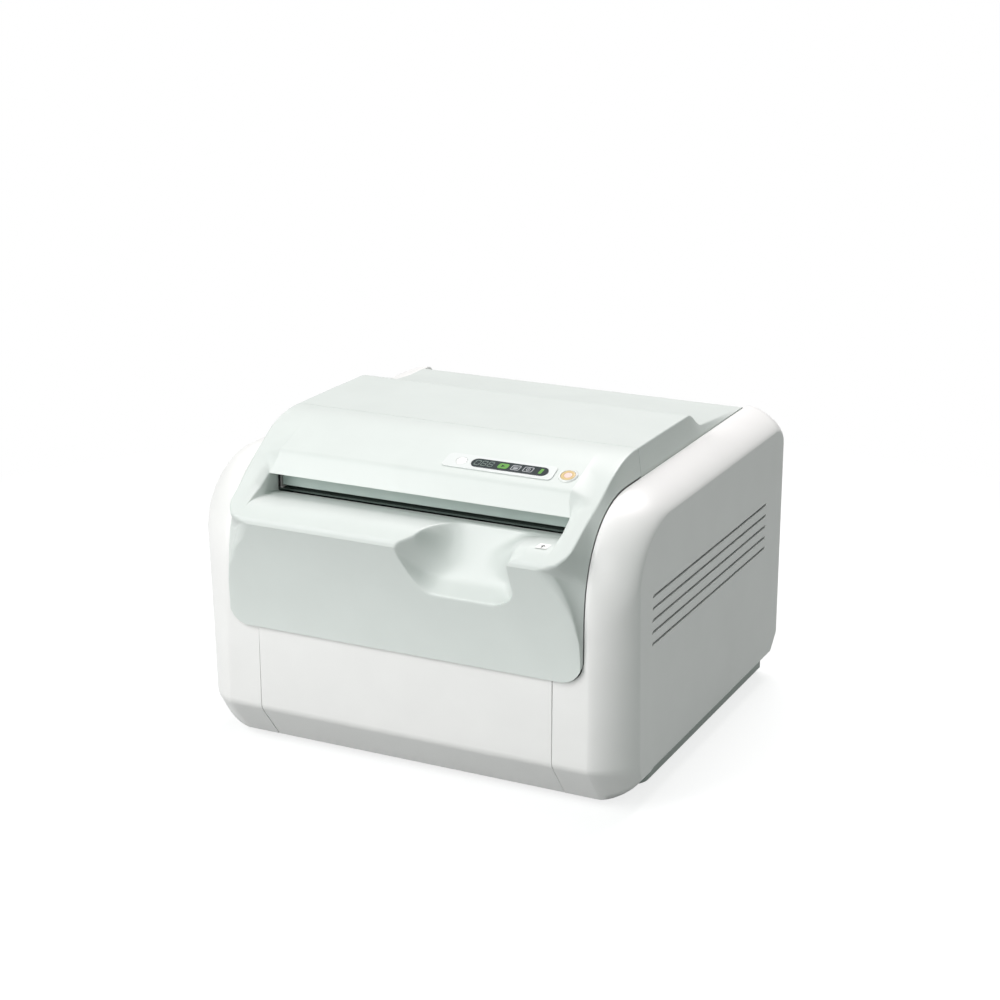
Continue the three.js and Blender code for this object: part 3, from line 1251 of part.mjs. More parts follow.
function makePort() {
  const w = port.wall;
  const faceY = rearFace + seat + port.wall / 2;
  const z0 = port.z - port.height / 2;
  const z1 = port.z + port.height / 2;
  return boxSolid(port.x - port.half, port.x + port.half, rearFace - port.depth, faceY, z0, z1)
    .subtract(boxSolid(port.x - port.half + w, port.x + port.half - w, faceY - port.cavityDepth,
      faceY + overrun, z0 + w, z1 - w));
}
add('network_port', makePort(), 'steel');

export default model;
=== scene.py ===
import math

import bmesh
import bpy
import numpy as np
from mathutils import Matrix, Vector


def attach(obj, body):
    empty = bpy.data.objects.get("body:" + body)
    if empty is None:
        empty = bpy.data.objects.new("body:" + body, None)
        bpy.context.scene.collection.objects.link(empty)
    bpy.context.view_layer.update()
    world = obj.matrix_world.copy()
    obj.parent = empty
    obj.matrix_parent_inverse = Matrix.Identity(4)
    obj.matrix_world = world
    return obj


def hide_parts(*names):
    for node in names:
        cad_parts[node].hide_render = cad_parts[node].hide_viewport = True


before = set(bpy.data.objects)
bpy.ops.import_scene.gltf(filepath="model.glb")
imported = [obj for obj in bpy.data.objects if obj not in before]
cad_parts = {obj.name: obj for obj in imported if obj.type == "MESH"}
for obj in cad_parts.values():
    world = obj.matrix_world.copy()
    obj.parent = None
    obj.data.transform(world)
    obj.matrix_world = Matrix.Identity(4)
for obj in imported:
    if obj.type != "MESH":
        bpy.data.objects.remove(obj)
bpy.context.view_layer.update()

# Table-top reader for phosphor plates. Lengths below are millimetres, and meshes are made in metres.
# X to the right, Y to the back, Z up, with the front lip at lipY.
millimetre = 0.001
lipY = -274.0
scene = bpy.context.scene
print("frame loaded:", len(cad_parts), "nodes")


# Small tools

def linearColour(hexColour):
    values = [int(hexColour[i:i + 2], 16) / 255 for i in (1, 3, 5)]
    return [v / 12.92 if v <= 0.04045 else ((v + 0.055) / 1.055) ** 2.4 for v in values] + [1.0]


def mix(a, b, t):
    return a + (b - a) * t


def smoothStep(a, b, x):
    t = np.clip((np.asarray(x, float) - a) / (b - a), 0, 1)
    return t * t * (3 - 2 * t)


def sweep(share, power):
    # quarter of a superellipse: how far across and how far back
    angle = np.asarray(share, float) * math.pi / 2
    return np.sin(angle) ** (2 / power), 1 - np.cos(angle).clip(0) ** (2 / power)


def smoothTable(table, x):
    # reads a table at x, with its corners smoothed
    xs, ys = np.array(table, float).T
    samples, width = 400, 23
    fine = np.linspace(xs[0], xs[-1], samples)
    values = np.interp(fine, xs, ys)
    kernel = np.hanning(width)
    kernel /= kernel.sum()
    padded = np.pad(values, width // 2, "edge")
    return np.interp(x, fine, np.convolve(padded, kernel, "valid"))


def softMin(a, b, width):
    near = np.maximum(width - np.abs(a - b), 0)
    return np.minimum(a, b) - near ** 2 / (4 * width)


def column(x, setback, z):
    # points of one grid column, from arrays or single numbers
    return np.stack(np.broadcast_arrays(x, setback, z), axis=-1).astype(float)


def softPath(corners, softness, spans, bend=5):
    # a path through corners, where each soft corner is a short curve; works on many paths at once
    corners = np.asarray(corners, float)
    steps = np.diff(corners, axis=-2)
    lengths = np.linalg.norm(steps, axis=-1, keepdims=True)
    units = steps / np.maximum(lengths, 1e-9)
    points = []
    last = corners[..., 0, :]
    count = corners.shape[-2]
    for i in range(1, count):
        corner = corners[..., i, :]
        isSoft = i < count - 1 and softness[i] is not None
        if isSoft:
            shortest = np.minimum(lengths[..., i - 1, :], lengths[..., i, :])
            reach = np.minimum(softness[i], 0.45 * shortest)
            enter = corner - units[..., i - 1, :] * reach
            leave = corner + units[..., i, :] * reach
        else:
            enter = leave = corner
        points += [mix(last, enter, k / spans[i - 1]) for k in range(spans[i - 1])]
        if isSoft:
            points += [(1 - t) ** 2 * enter + 2 * t * (1 - t) * corner + t * t * leave
                       for t in [k / bend for k in range(bend)]]
        last = leave
    points.append(last)
    return np.stack(points, axis=-2)


def polish(grid, weight, rounds):
    # draws each inner point towards the middle of its four neighbours
    for _ in range(rounds):
        around = (grid[:-2, 1:-1] + grid[2:, 1:-1] + grid[1:-1, :-2] + grid[1:-1, 2:]) / 4
        grid[1:-1, 1:-1] += (around - grid[1:-1, 1:-1]) * weight


def cornerRise(x, edge, radius):
    # how far a round lower corner lifts the foot of a face at x
    inCorner = np.clip((np.abs(x) - edge + radius) / radius, 0, 1)
    return radius * (1 - np.sqrt(1 - inCorner ** 2))


def bothSides(right, left):
    # joins a half grid to the mirror image of another, and takes setbacks to Y
    left = left[:, 1:][:, ::-1].copy()
    left[..., 0] *= -1
    grid = np.concatenate([left, right], axis=1)
    grid[..., 1] += lipY
    return grid


def gridFaces(rows, columns, skip=None):
    return [(r * columns + c, r * columns + c + 1, (r + 1) * columns + c + 1, (r + 1) * columns + c)
            for r in range(rows - 1) for c in range(columns - 1) if skip is None or not skip(r, c)]


def ringFaces(first, second, count):
    # quads between two closed rings of points
    return [(first + k, first + (k + 1) % count, second + (k + 1) % count, second + k)
            for k in range(count)]


def addObject(name, mesh, material):
    thing = bpy.data.objects.new(name, mesh)
    scene.collection.objects.link(thing)
    mesh.materials.append(material)
    return thing


def meshObject(name, points, faces, material):
    mesh = bpy.data.meshes.new(name)
    mesh.from_pydata([Vector(p) * millimetre for p in np.asarray(points, float)], [], faces)
    mesh.update()
    return addObject(name, mesh, material)


def openMesh(*things):
    edit = bmesh.new()
    for thing in things:
        edit.from_mesh(thing.data)
    return edit


def closeMesh(edit, mesh):
    edit.to_mesh(mesh)
    edit.free()


def cleanUp(thing, distance=0.004, outward=True):
    edit = openMesh(thing)
    bmesh.ops.remove_doubles(edit, verts=edit.verts, dist=distance * millimetre)
    bmesh.ops.dissolve_degenerate(edit, dist=distance * millimetre, edges=edit.edges)
    loose = [v for v in edit.verts if not v.link_faces]
    bmesh.ops.delete(edit, geom=loose, context="VERTS")
    if outward:
        bmesh.ops.recalc_face_normals(edit, faces=edit.faces)
    closeMesh(edit, thing.data)


def faceTowards(thing, direction):
    # turns an open sheet over when most of it looks the other way
    direction = Vector(direction)
    if sum(p.normal.dot(direction) * p.area for p in thing.data.polygons) < 0:
        thing.data.flip_normals()


def addModifier(thing, kind, **settings):
    modifier = thing.modifiers.new(kind.lower(), kind)
    for key, value in settings.items():
        setattr(modifier, key, value)


def thicken(thing, thickness, even=False):
    addModifier(thing, "SOLIDIFY", thickness=thickness * millimetre, offset=-1, use_even_offset=even)


def roundEdges(thing, width, segments=3, angle=40):
    addModifier(thing, "BEVEL", width=width * millimetre, segments=segments, limit_method="ANGLE",
                angle_limit=math.radians(angle), miter_outer="MITER_ARC", use_clamp_overlap=True)


def evaluatedMesh(thing):
    return bpy.data.meshes.new_from_object(thing.evaluated_get(bpy.context.evaluated_depsgraph_get()))


def applyModifiers(thing):
    applied = evaluatedMesh(thing)
    thing.modifiers.clear()
    thing.data = applied


def shadeSmooth(thing, sharpAngle):
    thing.data.shade_smooth()
    thing.data.set_sharp_from_angle(angle=math.radians(sharpAngle))


def settle(thing, sharpAngle=35):
    # applies the modifiers, then shades smooth with sharp edges kept and flat faces left flat
    applyModifiers(thing)
    shadeSmooth(thing, sharpAngle)
    addModifier(thing, "WEIGHTED_NORMAL", keep_sharp=True)
    applyModifiers(thing)


def cutAway(thing, cutter):
    addModifier(thing, "BOOLEAN", operation="DIFFERENCE", object=cutter, solver="EXACT")
    applyModifiers(thing)
    bpy.data.objects.remove(cutter)


def joinTogether(name, things):
    merged = bpy.data.meshes.new(name)
    closeMesh(openMesh(*things), merged)
    joined = addObject(name, merged, things[0].data.materials[0])
    for thing in things:
        bpy.data.objects.remove(thing)
    return joined


def turned(profile, axis, centre, sides, name, material):
    # a lathed piece: profile is [radius, along], open profiles are closed on the axis
    angles = np.arange(sides) * 2 * math.pi / sides
    points = np.concatenate([column(np.cos(angles) * radius, np.sin(angles) * radius, along)
                             for radius, along in profile])
    if axis == "x":
        points = np.roll(points, 1, axis=1)
    faces = []
    for r in range(len(profile) - 1):
        faces += ringFaces(r * sides, (r + 1) * sides, sides)
    thing = meshObject(name, points + np.array(centre, float), faces, material)
    cleanUp(thing, 0.002)
    edit = openMesh(thing)
    rims = [e for e in edit.edges if e.is_boundary]
    if rims:
        bmesh.ops.holes_fill(edit, edges=rims)
    bmesh.ops.recalc_face_normals(edit, faces=edit.faces)
    closeMesh(edit, thing.data)
    return thing


def roundedOutline(x0, x1, y0, y1, radius, steps=6):
    outline = []
    for cx, cy, turn in ((x1 - radius, y0 + radius, -90), (x1 - radius, y1 - radius, 0),
                         (x0 + radius, y1 - radius, 90), (x0 + radius, y0 + radius, 180)):
        for k in range(steps + 1):
            angle = math.radians(turn + 90 * k / steps)
            outline.append((cx + radius * math.cos(angle), cy + radius * math.sin(angle)))
    return outline


def circleOutline(cx, cy, radius, sides=40):
    angles = [2 * math.pi * k / sides for k in range(sides)]
    return [(cx + radius * math.cos(angle), cy + radius * math.sin(angle)) for angle in angles]


def plate(name, outlines, low, high, edge, material, place=None, edgeSteps=2):
    # a flat plate cut from one outer outline and its holes, with softened edges
    curve = bpy.data.curves.new(name + "Outline", "CURVE")
    curve.dimensions = "2D"
    curve.fill_mode = "BOTH"
    for outline in outlines:
        spline = curve.splines.new("POLY")
        spline.points.add(len(outline) - 1)
        for point, (x, y) in zip(spline.points, outline):
            point.co = (x * millimetre, y * millimetre, 0, 1)
        spline.use_cyclic_u = True
    curve.extrude = ((high - low) / 2 - edge) * millimetre
    curve.bevel_depth = edge * millimetre
    curve.bevel_resolution = edgeSteps
    curve.offset = -edge * millimetre
    shaper = bpy.data.objects.new(name + "Outline", curve)
    scene.collection.objects.link(shaper)
    bpy.context.view_layer.update()
    mesh = evaluatedMesh(shaper)
    bpy.data.objects.remove(shaper)
    mesh.transform(Matrix.Translation((0, 0, (low + high) / 2 * millimetre)))
    if place is not None:
        mesh.transform(place)
    mesh.materials.clear()
    thing = addObject(name, mesh, material)
    cleanUp(thing, 0.001)
    return thing


def profilePiece(name, outline, yShift, x0, x1, sign, material, edge, hole=None):
    # an outline in (y, z) swept along x, on one side of the case
    place = Matrix(((0, 0, 1, 0), (1, 0, 0, 0), (0, 1, 0, 0), (0, 0, 0, 1)))
    outlines = [[(y + yShift, z) for y, z in outline]]
    if hole:
        outlines.append(circleOutline(hole[0] + yShift, hole[1], hole[2], 24))
    low, high = (x0, x1) if sign > 0 else (-x1, -x0)
    thing = plate(name, outlines, low, high, edge, material, place)
    shadeSmooth(thing, 30)
    return thing


def boxPiece(name, xs, ys, zs, material, edge):
    mesh = bpy.data.meshes.new(name)
    edit = bmesh.new()
    bmesh.ops.create_cube(edit)
    for vertex in edit.verts:
        vertex.co = Vector([span[c > 0] for span, c in zip((xs, ys, zs), vertex.co)]) * millimetre
    bmesh.ops.bevel(edit, geom=list(edit.edges), offset=edge * millimetre, segments=2, profile=0.5,
                    affect="EDGES")
    closeMesh(edit, mesh)
    thing = addObject(name, mesh, material)
    shadeSmooth(thing, 30)
    return thing


def finishPiece(thing, node=None, body="chassis"):
    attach(thing, body)
    if node:
        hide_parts(node)


# Materials

def addNode(tree, kind, links=None, **inputs):
    # a link goes to a socket's name or number, and comes from a socket or a node's first output
    node = tree.nodes.new("ShaderNode" + kind)
    for key, value in inputs.items():
        node.inputs[key.replace("_", " ")].default_value = value
    for socket, source in (links or {}).items():
        output = source.outputs[0] if isinstance(source, bpy.types.Node) else source
        tree.links.new(output, node.inputs[socket])
    return node


def addTexture(tree, kind, place, size, **inputs):
    # a texture whose pattern has this size in millimetres
    return addNode(tree, "Tex" + kind, {"Vector": place}, Scale=1 / (size * millimetre), **inputs)


def newMaterial(name):
    material = bpy.data.materials.new(name)
    material.use_nodes = True
    tree = material.node_tree
    tree.nodes.clear()
    return material, tree, addNode(tree, "TexCoord").outputs["Object"]


def grained(name, colour, shade, roughness, grain, depth, ior=None, cloud=60, stretch=None,
            roughSpread=0.06, transmission=0.0, glow=None):
    # colour drifts between two close tones, and a fine grain gives the bump and the roughness
    # a material without an ior is a metal
    material, tree, place = newMaterial(name)
    if stretch is not None:
        place = addNode(tree, "Mapping", {"Vector": place}, Scale=stretch)
    clouds = addTexture(tree, "Noise", place, cloud, Detail=4.0)
    tones = addNode(tree, "ValToRGB", {"Fac": clouds})
    for stop, position, tone in zip(tones.color_ramp.elements, (0.3, 0.7), (shade, colour)):
        stop.position = position
        stop.color = linearColour(tone)
    pits = addTexture(tree, "Noise", place, grain, Detail=6.0, Roughness=0.6)
    rough = addNode(tree, "MapRange", {"Value": pits}, To_Min=roughness - roughSpread,
                    To_Max=roughness + roughSpread)
    bump = addNode(tree, "Bump", {"Height": pits}, Strength=0.35, Distance=depth * millimetre)
    shader = addNode(tree, "BsdfPrincipled", {"Base Color": tones, "Roughness": rough, "Normal": bump},
                     Metallic=float(ior is None), IOR=ior or 1.5, Transmission_Weight=transmission)
    # an emission here is a painted glow, on a surface that is no lamp
    if glow:
        shader.inputs["Emission Color"].default_value = linearColour(glow[0])
        shader.inputs["Emission Strength"].default_value = glow[1]
    addNode(tree, "OutputMaterial", {"Surface": shader})
    return material


# ABS and PC/ABS covers: a spark-eroded mould leaves a matt, even grain. The real one is about 0.1 mm
# across, too fine to show, so it is drawn at 0.5 mm.
paleGreenAbs = grained("mouldedAbsPaleGreen", "#d1d8d4", "#ced5d1", 0.42, 0.5, 0.02, 1.53)
whiteAbs = grained("mouldedAbsWhite", "#eaebe9", "#e7e8e6", 0.40, 0.5, 0.02, 1.53)
greyGreenAbs = grained("mouldedAbsPlinth", "#a9b2ad", "#a2aba6", 0.5, 0.5, 0.02, 1.53)
flapAbs = grained("mouldedAbsFlap", "#aebdb7", "#a6b5af", 0.5, 0.5, 0.02, 1.53)
bezelAbs = grained("mouldedAbsBezel", "#dfe3e0", "#dadedb", 0.3, 0.5, 0.01, 1.53)
blackAbs = grained("mouldedPbtBlack", "#26282a", "#1f2123", 0.5, 0.4, 0.02, 1.55)
whiteAcetal = grained("acetalWhite", "#eeeeea", "#e6e6e2", 0.32, 0.6, 0.01, 1.48)
overlayFilm = grained("polycarbonateFilm", "#d8dddb", "#d4d9d7", 0.38, 0.25, 0.008, 1.58)
displayFilm = grained("smokedPolycarbonate", "#3d4244", "#383d3f", 0.16, 2.0, 0.001, 1.58, roughSpread=0.03)
powerAmber = grained("amberAcrylic", "#d6c192", "#cfb785", 0.25, 0.6, 0.005, 1.49)
powerCentre = grained("buttonPolycarbonate", "#eed3cd", "#ebcbc4", 0.25, 0.6, 0.005, 1.58)
selectWhite = grained("selectPolycarbonate", "#f5f6f4", "#eff1ee", 0.3, 0.5, 0.008, 1.58)
# rubbers
footRubber = grained("nitrileRubberFeet", "#3a3c3d", "#323435", 0.75, 0.8, 0.04, 1.52)
cupRubber = grained("siliconeCups", "#4c4f52", "#44474a", 0.6, 0.6, 0.02, 1.41)
rollerRubber = grained("polyurethaneRollers", "#5a5c5e", "#515355", 0.65, 0.5, 0.03, 1.5)
beltRubber = grained("neopreneBelt", "#2b2c2d", "#252627", 0.7, 0.6, 0.03, 1.52)
# metals: the zinc-plated steel has a cloudy spangle, and the ground steel is drawn out along x
zincSteel = grained("zincPlatedSteel", "#c9cccb", "#b9bdbd", 0.38, 6.0, 0.01, cloud=14, roughSpread=0.08)
brightSteel = grained("groundSteel", "#d4d6d7", "#c8cbcc", 0.2, 0.4, 0.006, stretch=(0.05, 1, 1))
castAluminium = grained("castAluminium", "#b8babb", "#a9abad", 0.5, 0.9, 0.05, cloud=20, roughSpread=0.1)
mirrorCoat = grained("aluminisedMirror", "#e4e6e8", "#dfe2e4", 0.05, 2.0, 0.001, roughSpread=0.02)
# paints
rearPaint = grained("powderCoatRear", "#c3cac6", "#bcc3bf", 0.55, 0.9, 0.05, 1.5)
opticsPaint = grained("blackPowderCoat", "#2a2c2e", "#232527", 0.6, 0.8, 0.05, 1.5)
motorPaint = grained("blackElectrocoat", "#303336", "#282b2d", 0.4, 1.2, 0.02, 1.5)
# the tray's dark green-grey is partly painted shade: the tray is darkened to stand in for the shade inside
# the slot behind the flap
trayPaintWithPaintedShade = grained("trayCoatAndPaintedSlotShade", "#56665f", "#505f59", 0.55, 0.8, 0.05, 1.5)
# clear pieces
lensGlass = grained("opticalGlass", "#f2f6f6", "#edf3f3", 0.04, 4.0, 0.001, 1.52, roughSpread=0.01,
                    transmission=1.0)
guideAcrylic = grained("castAcrylic", "#eef6f4", "#e8f2f0", 0.05, 4.0, 0.001, 1.49, roughSpread=0.01,
                       transmission=0.9)
# prints and labels
# the green print is given a faint painted glow, as if lit, though it is only ink
symbolGreenWithPaintedGlow = grained("printedGreenWithPaintedGlow", "#5f9a41", "#58913b", 0.4, 0.3, 0.003, 1.5, glow=("#6aa84c", 0.05))
symbolGrey = grained("printedDimGrey", "#6f7f78", "#67766f", 0.4, 0.3, 0.003, 1.5)
symbolPale = grained("printedPaleGrey", "#a3a7aa", "#999da0", 0.4, 0.3, 0.003, 1.5)
labelWhite = grained("vinylLabel", "#f6f6f4", "#f0f0ee", 0.35, 0.4, 0.004, 1.5)
labelInk = grained("labelInk", "#3c4442", "#353d3b", 0.5, 0.3, 0.002, 1.5)


def circuitLaminate():
    # FR4 board: green solder mask over copper tracks that stand 0.04 mm proud
    material, tree, place = newMaterial("fr4Laminate")
    tracks = addTexture(tree, "Brick", place, 9, Mortar_Size=0.06, Color1=linearColour("#1f6b43"),
                        Color2=linearColour("#237248"), Mortar=linearColour("#3a8f5c"))
    grain = addTexture(tree, "Noise", place, 1.2)
    bump = addNode(tree, "Bump", {"Height": grain}, Distance=0.04 * millimetre)
    shader = addNode(tree, "BsdfPrincipled", {"Base Color": tracks, "Normal": bump}, Roughness=0.35,
                     IOR=1.55)
    addNode(tree, "OutputMaterial", {"Surface": shader})
    return material


boardLaminate = circuitLaminate()
print("materials made")


# Front fascia. Its outline runs from the lid's seam over the panel, into the slot, over the shelf and
# the nose, and down the apron. Each point of an outline is its setback, its height and a row number:
# 0 seam, 6 crease, 7 slot's top, 8 slot's foot, 9 shelf's front, 10 to 12 nose, 18 apron's foot.
fascia = {
    "half": 228.6,                  # out to the side covers
    "slotHalf": 193.0,
    "top": 392.0,
    "seamSetback": 187.0,           # where the lid begins
    "archSetback": 182.0,
    "panel": (146.0, 21.3, 84.0),   # radius, slope in degrees, setback of the crease
    "ramp": (140.0, 31.5),          # the arms beside the slot
    "slotTop": (68.5, 340.0),
    "shelf": (19.5, 316.5),
    "nose": [(2.0, 305.9), (0.4, 302.0), (0.0, 298.0)],
    "apron": (25.5, 162.0),         # rake and foot
    "bevelDrop": 7.0,
    "bevelWidth": 9.4,
    "bevelStart": (0.6, 4.0),       # from the slot's end, and more on the panel
    "bevelSoftness": (1.8, 7.0),    # beside the slot and on the panel
    "slotSoftness": (0.02, 2.2, 5.0),   # in the opening, around it and on the panel
    "panelRows": (6.2, 7.0),        # where the panel ends
    "panelBevelWidth": 19.0,
    "panelBlend": 5.5,
    "cornerRadius": 26.0,           # the apron's lower corners
    "cornerTop": 235.0,             # rows below this close up towards them
    "hollow": 0.05,                 # of the side face, as a share of its width
    "ductDepth": 18.0,
    "ductFall": 3.6,
    "wall": 2.6,
    "archSteps": 18,
    "apronSteps": 96,
    "apronCrowding": 1.25,          # closer rows near the nose
    # of the crease, the slot's top and foot, the shelf's front and the nose
    "softness": [5.0, 0.8, None, 9.0, 1.8, 1.5, 1.8],
    "spans": [6, 6, 8, 40, 6, 1, 1],
    "plainStep": 9.0,
}
# where the side face starts: along the arms and round the nose by row, down the apron by height
sideFace = {
    "byRow": [(0, 224.0), (4, 223.6), (6, 221.5), (7, 219.7), (8, 218.4), (9, 217.0), (9.5, 213.0),
              (10, 206.0), (11, 198.0), (12, 192.0)],
    "byHeight": [(162, 227.2), (192, 227.0), (210, 226.2), (238, 222.0), (265, 212.0), (282, 202.5),
                 (298, 192.0)],
    "fallByRow": [(8, 0), (9, 20), (10, 31), (12, 36)],
    "apronPower": 1.5,
    "widest": (9.0, 13.0),          # its crease at the nose and below
    "widestRows": (11.5, 13.5),
    "armCrease": 2.2,
    "armRows": (9, 10.5),           # where the arm's crease becomes the apron's
    "armSoftness": 4.0,
    "creaseRoom": 1.6,
    "fairing": (200, 60),           # rounds, over the face and over its crease
    "fadeRows": [(11.4, 12.6), (12.5, 15)],     # the crease fades in and out of its fairing
    "hollowRows": (8.2, 11),
    "hollowPush": (-0.82, 0.4, -0.4),
    "spans": [2, 4, 3, 5, 8],
    "bend": 6,
}
# the covers' front edge
coverFace = {"setback": 30.5, "depth": 118.5, "rise": 133.0, "shoulderZ": 225.0, "top": 358.0,
             "power": 2.35}
proud = 1.4     # how far the fascia and the lid stand over the covers


def coverCurve(share):
    return (1 - np.clip(share, 0, 1) ** coverFace["power"]) ** (1 / coverFace["power"])


def coverFront(z):
    setback, depth, shoulderZ = coverFace["setback"], coverFace["depth"], coverFace["shoulderZ"]
    curve = coverCurve((z - shoulderZ) / (coverFace["rise"] + proud))
    return np.where(z <= shoulderZ, setback - proud, setback + depth - (depth + proud) * curve)


def coverHeight(setback):
    depth = coverFace["depth"]
    across = (coverFace["setback"] + depth - setback) / (depth + proud)
    return coverFace["shoulderZ"] + (coverFace["rise"] + proud) * coverCurve(across)


def archPoints(radius, slope):
    count = fascia["archSteps"]
    points = []
    for k in range(count + 1):
        angle = math.radians(slope) * k / count
        points.append((fascia["archSetback"] - radius * math.sin(angle),
                       fascia["top"] - radius * (1 - math.cos(angle)), mix(1.0, 5.0, k / count)))
    return points


def straightHeight(radius, slope, setback):
    # height of the straight run below an arch
    angle = math.radians(slope)
    endSetback = fascia["archSetback"] - radius * math.sin(angle)
    endZ = fascia["top"] - radius * (1 - math.cos(angle))
    return endZ - (endSetback - setback) * math.tan(angle)


def rampHeight(setback):
    return straightHeight(*fascia["ramp"], setback)


creaseSetback = fascia["panel"][2]
creaseZ = straightHeight(*fascia["panel"])
noseFoot = fascia["nose"][-1][1]


def fasciaOutlines():
    rake, foot = fascia["apron"]
    lower = [(s, z, 10.0 + k) for k, (s, z) in enumerate(fascia["nose"])]
    for k in range(1, fascia["apronSteps"] + 1):
        down = (k / fascia["apronSteps"]) ** fascia["apronCrowding"]
        lower.append((rake * (1 - (1 - down) ** 2), mix(noseFoot, foot, down), 12.0 + 6.0 * down))
    slotSetback, slotTopZ = fascia["slotTop"]
    shelfSetback, shelfZ = fascia["shelf"]
    bendSetback = mix(slotSetback, shelfSetback, 0.4)
    seam = (fascia["seamSetback"], fascia["top"], 0.0)
    panelArch = archPoints(*fascia["panel"][:2])
    rampArch = archPoints(*fascia["ramp"])
    between = [tuple(mix(np.array(a), np.array(b), 0.5)) for a, b in zip(panelArch, rampArch)]

    def outline(arch, creaseTop, slotTop, slotFoot, shelfFront):
        return [seam, *arch, (creaseSetback, creaseTop, 6.0), (slotSetback, slotTop, 7.0),
                (*slotFoot, 8.0), (shelfSetback, shelfFront, 9.0), *lower]

    bendZ = rampHeight(bendSetback)
    creaseRampZ = rampHeight(creaseSetback)
    middle = outline(panelArch, creaseZ, slotTopZ, (slotSetback, shelfZ), shelfZ)
    bevel = outline(between, mix(creaseZ, creaseRampZ, 0.5), slotTopZ,
                    (bendSetback, bendZ - fascia["bevelDrop"]), shelfZ)
    arm = outline(rampArch, creaseRampZ, rampHeight(slotSetback), (bendSetback, bendZ), shelfZ + 0.1)
    straight = fascia["archSteps"]
    softness = [None] * (straight + 2) + fascia["softness"] + [None] * fascia["apronSteps"]
    spans = [2] + [1] * straight + fascia["spans"] + [1] * fascia["apronSteps"]
    return [softPath(rows, softness, spans) for rows in (middle, bevel, arm)]


middleRows, bevelRows, armRows = fasciaOutlines()
rowCount = len(middleRows)
slotTopRow = int(np.argmin(np.abs(middleRows[:, 2] - 7.05)))
slotFootRow = int(np.argmin(np.abs(middleRows[:, 2] - 8.0)))


def sideEdge(row, setback, z):
    # straight down from the arm to the cover, then forward round the nose, and level again at the foot
    onArm = coverHeight(setback)
    bend = float(np.interp(8.0, row, onArm))
    falls = sideFace["fallByRow"]
    drop = noseFoot - bend + falls[-1][1]
    foot = fascia["apron"][1]
    onApron = z - drop * np.clip((z - foot) / (noseFoot - foot), 0, 1) ** sideFace["apronPower"]
    roundNose = smoothTable([(at, bend - fall) for at, fall in falls], row)
    edgeZ = np.where(row <= 8, onArm, np.where(row <= 12, roundNose, onApron))
    return np.where(row <= 8, setback, coverFront(edgeZ)), edgeZ


# Finger scoop: its outline along the surface, and its floor, which the surface is pushed down to
scoop = {
    "direction": (0.7071, -0.7071),     # backwards and down
    "floor": [(90, 333), (76, 325), (68, 318.5), (62.5, 310), (56, 296), (46.2, 276), (34, 257.5),
              (21.8, 247), (16.4, 243.6), (9.5, 240), (-40, 232)],
    # distance from the slot, x
    "leftEdge": [(-14, 76), (1.5, 56), (10, 45), (19.5, 38), (31.5, 34.5), (48, 33), (59, 29), (66, 20),
                 (73, 12), (80, 9.5), (90, 11.5), (106, 16.5), (120, 21), (134, 26)],
    "rightEdge": [(-14, 138), (0, 148), (60, 149), (81, 147), (96, 148), (108, 149.5), (115, 149),
                  (122, 146), (127, 142), (131, 135), (134, 126)],
    "leftSteepness": 2.5,
    "rightSteepness": (1.3, 7.0),       # at the shelf and at the apron
    "rightRoll": (26.0, 3.0),
    "leftBlend": 60.0,
    "rightBlend": 16.0,
    "rim": (4.0, 10.0),                 # in front and at the rear
    "rimSpan": (40, 66),                # setbacks
    "toApron": (58, 78),                # along the surface
    "rearFade": 12.0,
    "polish": 130,
    "polishSpan": (2, 9),               # depths
    "reach": 155.0,                     # grid columns beyond this x may close up
    "search": (-30, 110, 1401),         # tried along the direction: from, to, count
    # grid stations: from, to, step
    "stations": [(0, 8, 2.0), (8, 62, 1.3), (62, 132, 2.2), (132, 155, 0.75), (155, 187, 3.0)],
    "lastStation": 187.0,
}


def scoopDepths(setback, z):
    # how far each point of the profile goes along the scoop's direction to meet its floor
    back, down = scoop["direction"]
    reach = np.linspace(*scoop["search"])
    floorTable = sorted(scoop["floor"])
    depths = []
    for s, h in zip(setback, z):
        gap = h + down * reach - smoothTable(floorTable, s + back * reach)
        below = np.nonzero(gap <= 0)[0]
        depths.append(reach[below[0]] if len(below) else reach[-1])
    return np.array(depths)


def scoopPush(x, rows):
    # x of every grid point, and the middle rows; gives each point's push along the scoop's direction
    setback, z, row = rows.T
    along = np.concatenate([[0], np.cumsum(np.hypot(np.diff(setback), np.diff(z)))])
    along -= along[slotFootRow]
    depth = np.where(row < 8.0, -20, scoopDepths(setback, z))
    left = smoothTable(scoop["leftEdge"], along)[:, None]
    right = smoothTable(scoop["rightEdge"], along)[:, None]
    fromLeft = (x - left) * scoop["leftSteepness"]
    # the right wall rolls gently over into the shelf, and stands crisp and steep at the apron
    atApron = smoothStep(*scoop["toApron"], along)
    roll = mix(*scoop["rightRoll"], atApron)[:, None]
    inwards = right + roll / 2 - x
    rolled = np.where(inwards > 0, inwards ** 2 / (2 * roll), inwards)
    fromRight = mix(*scoop["rightSteepness"], atApron)[:, None] * np.where(
        inwards > roll, inwards - roll / 2, rolled)
    depth = np.repeat(depth[:, None], x.shape[1], axis=1)
    push = softMin(softMin(depth, fromLeft, scoop["leftBlend"]), fromRight, scoop["rightBlend"])
    rim = mix(*scoop["rim"], smoothStep(*scoop["rimSpan"], setback))[:, None]
    push = np.where(push > rim, push, np.where(push < -rim, 0, (push + rim) ** 2 / (4 * rim)))
    return push * smoothStep(0, scoop["rearFade"], along)[:, None]


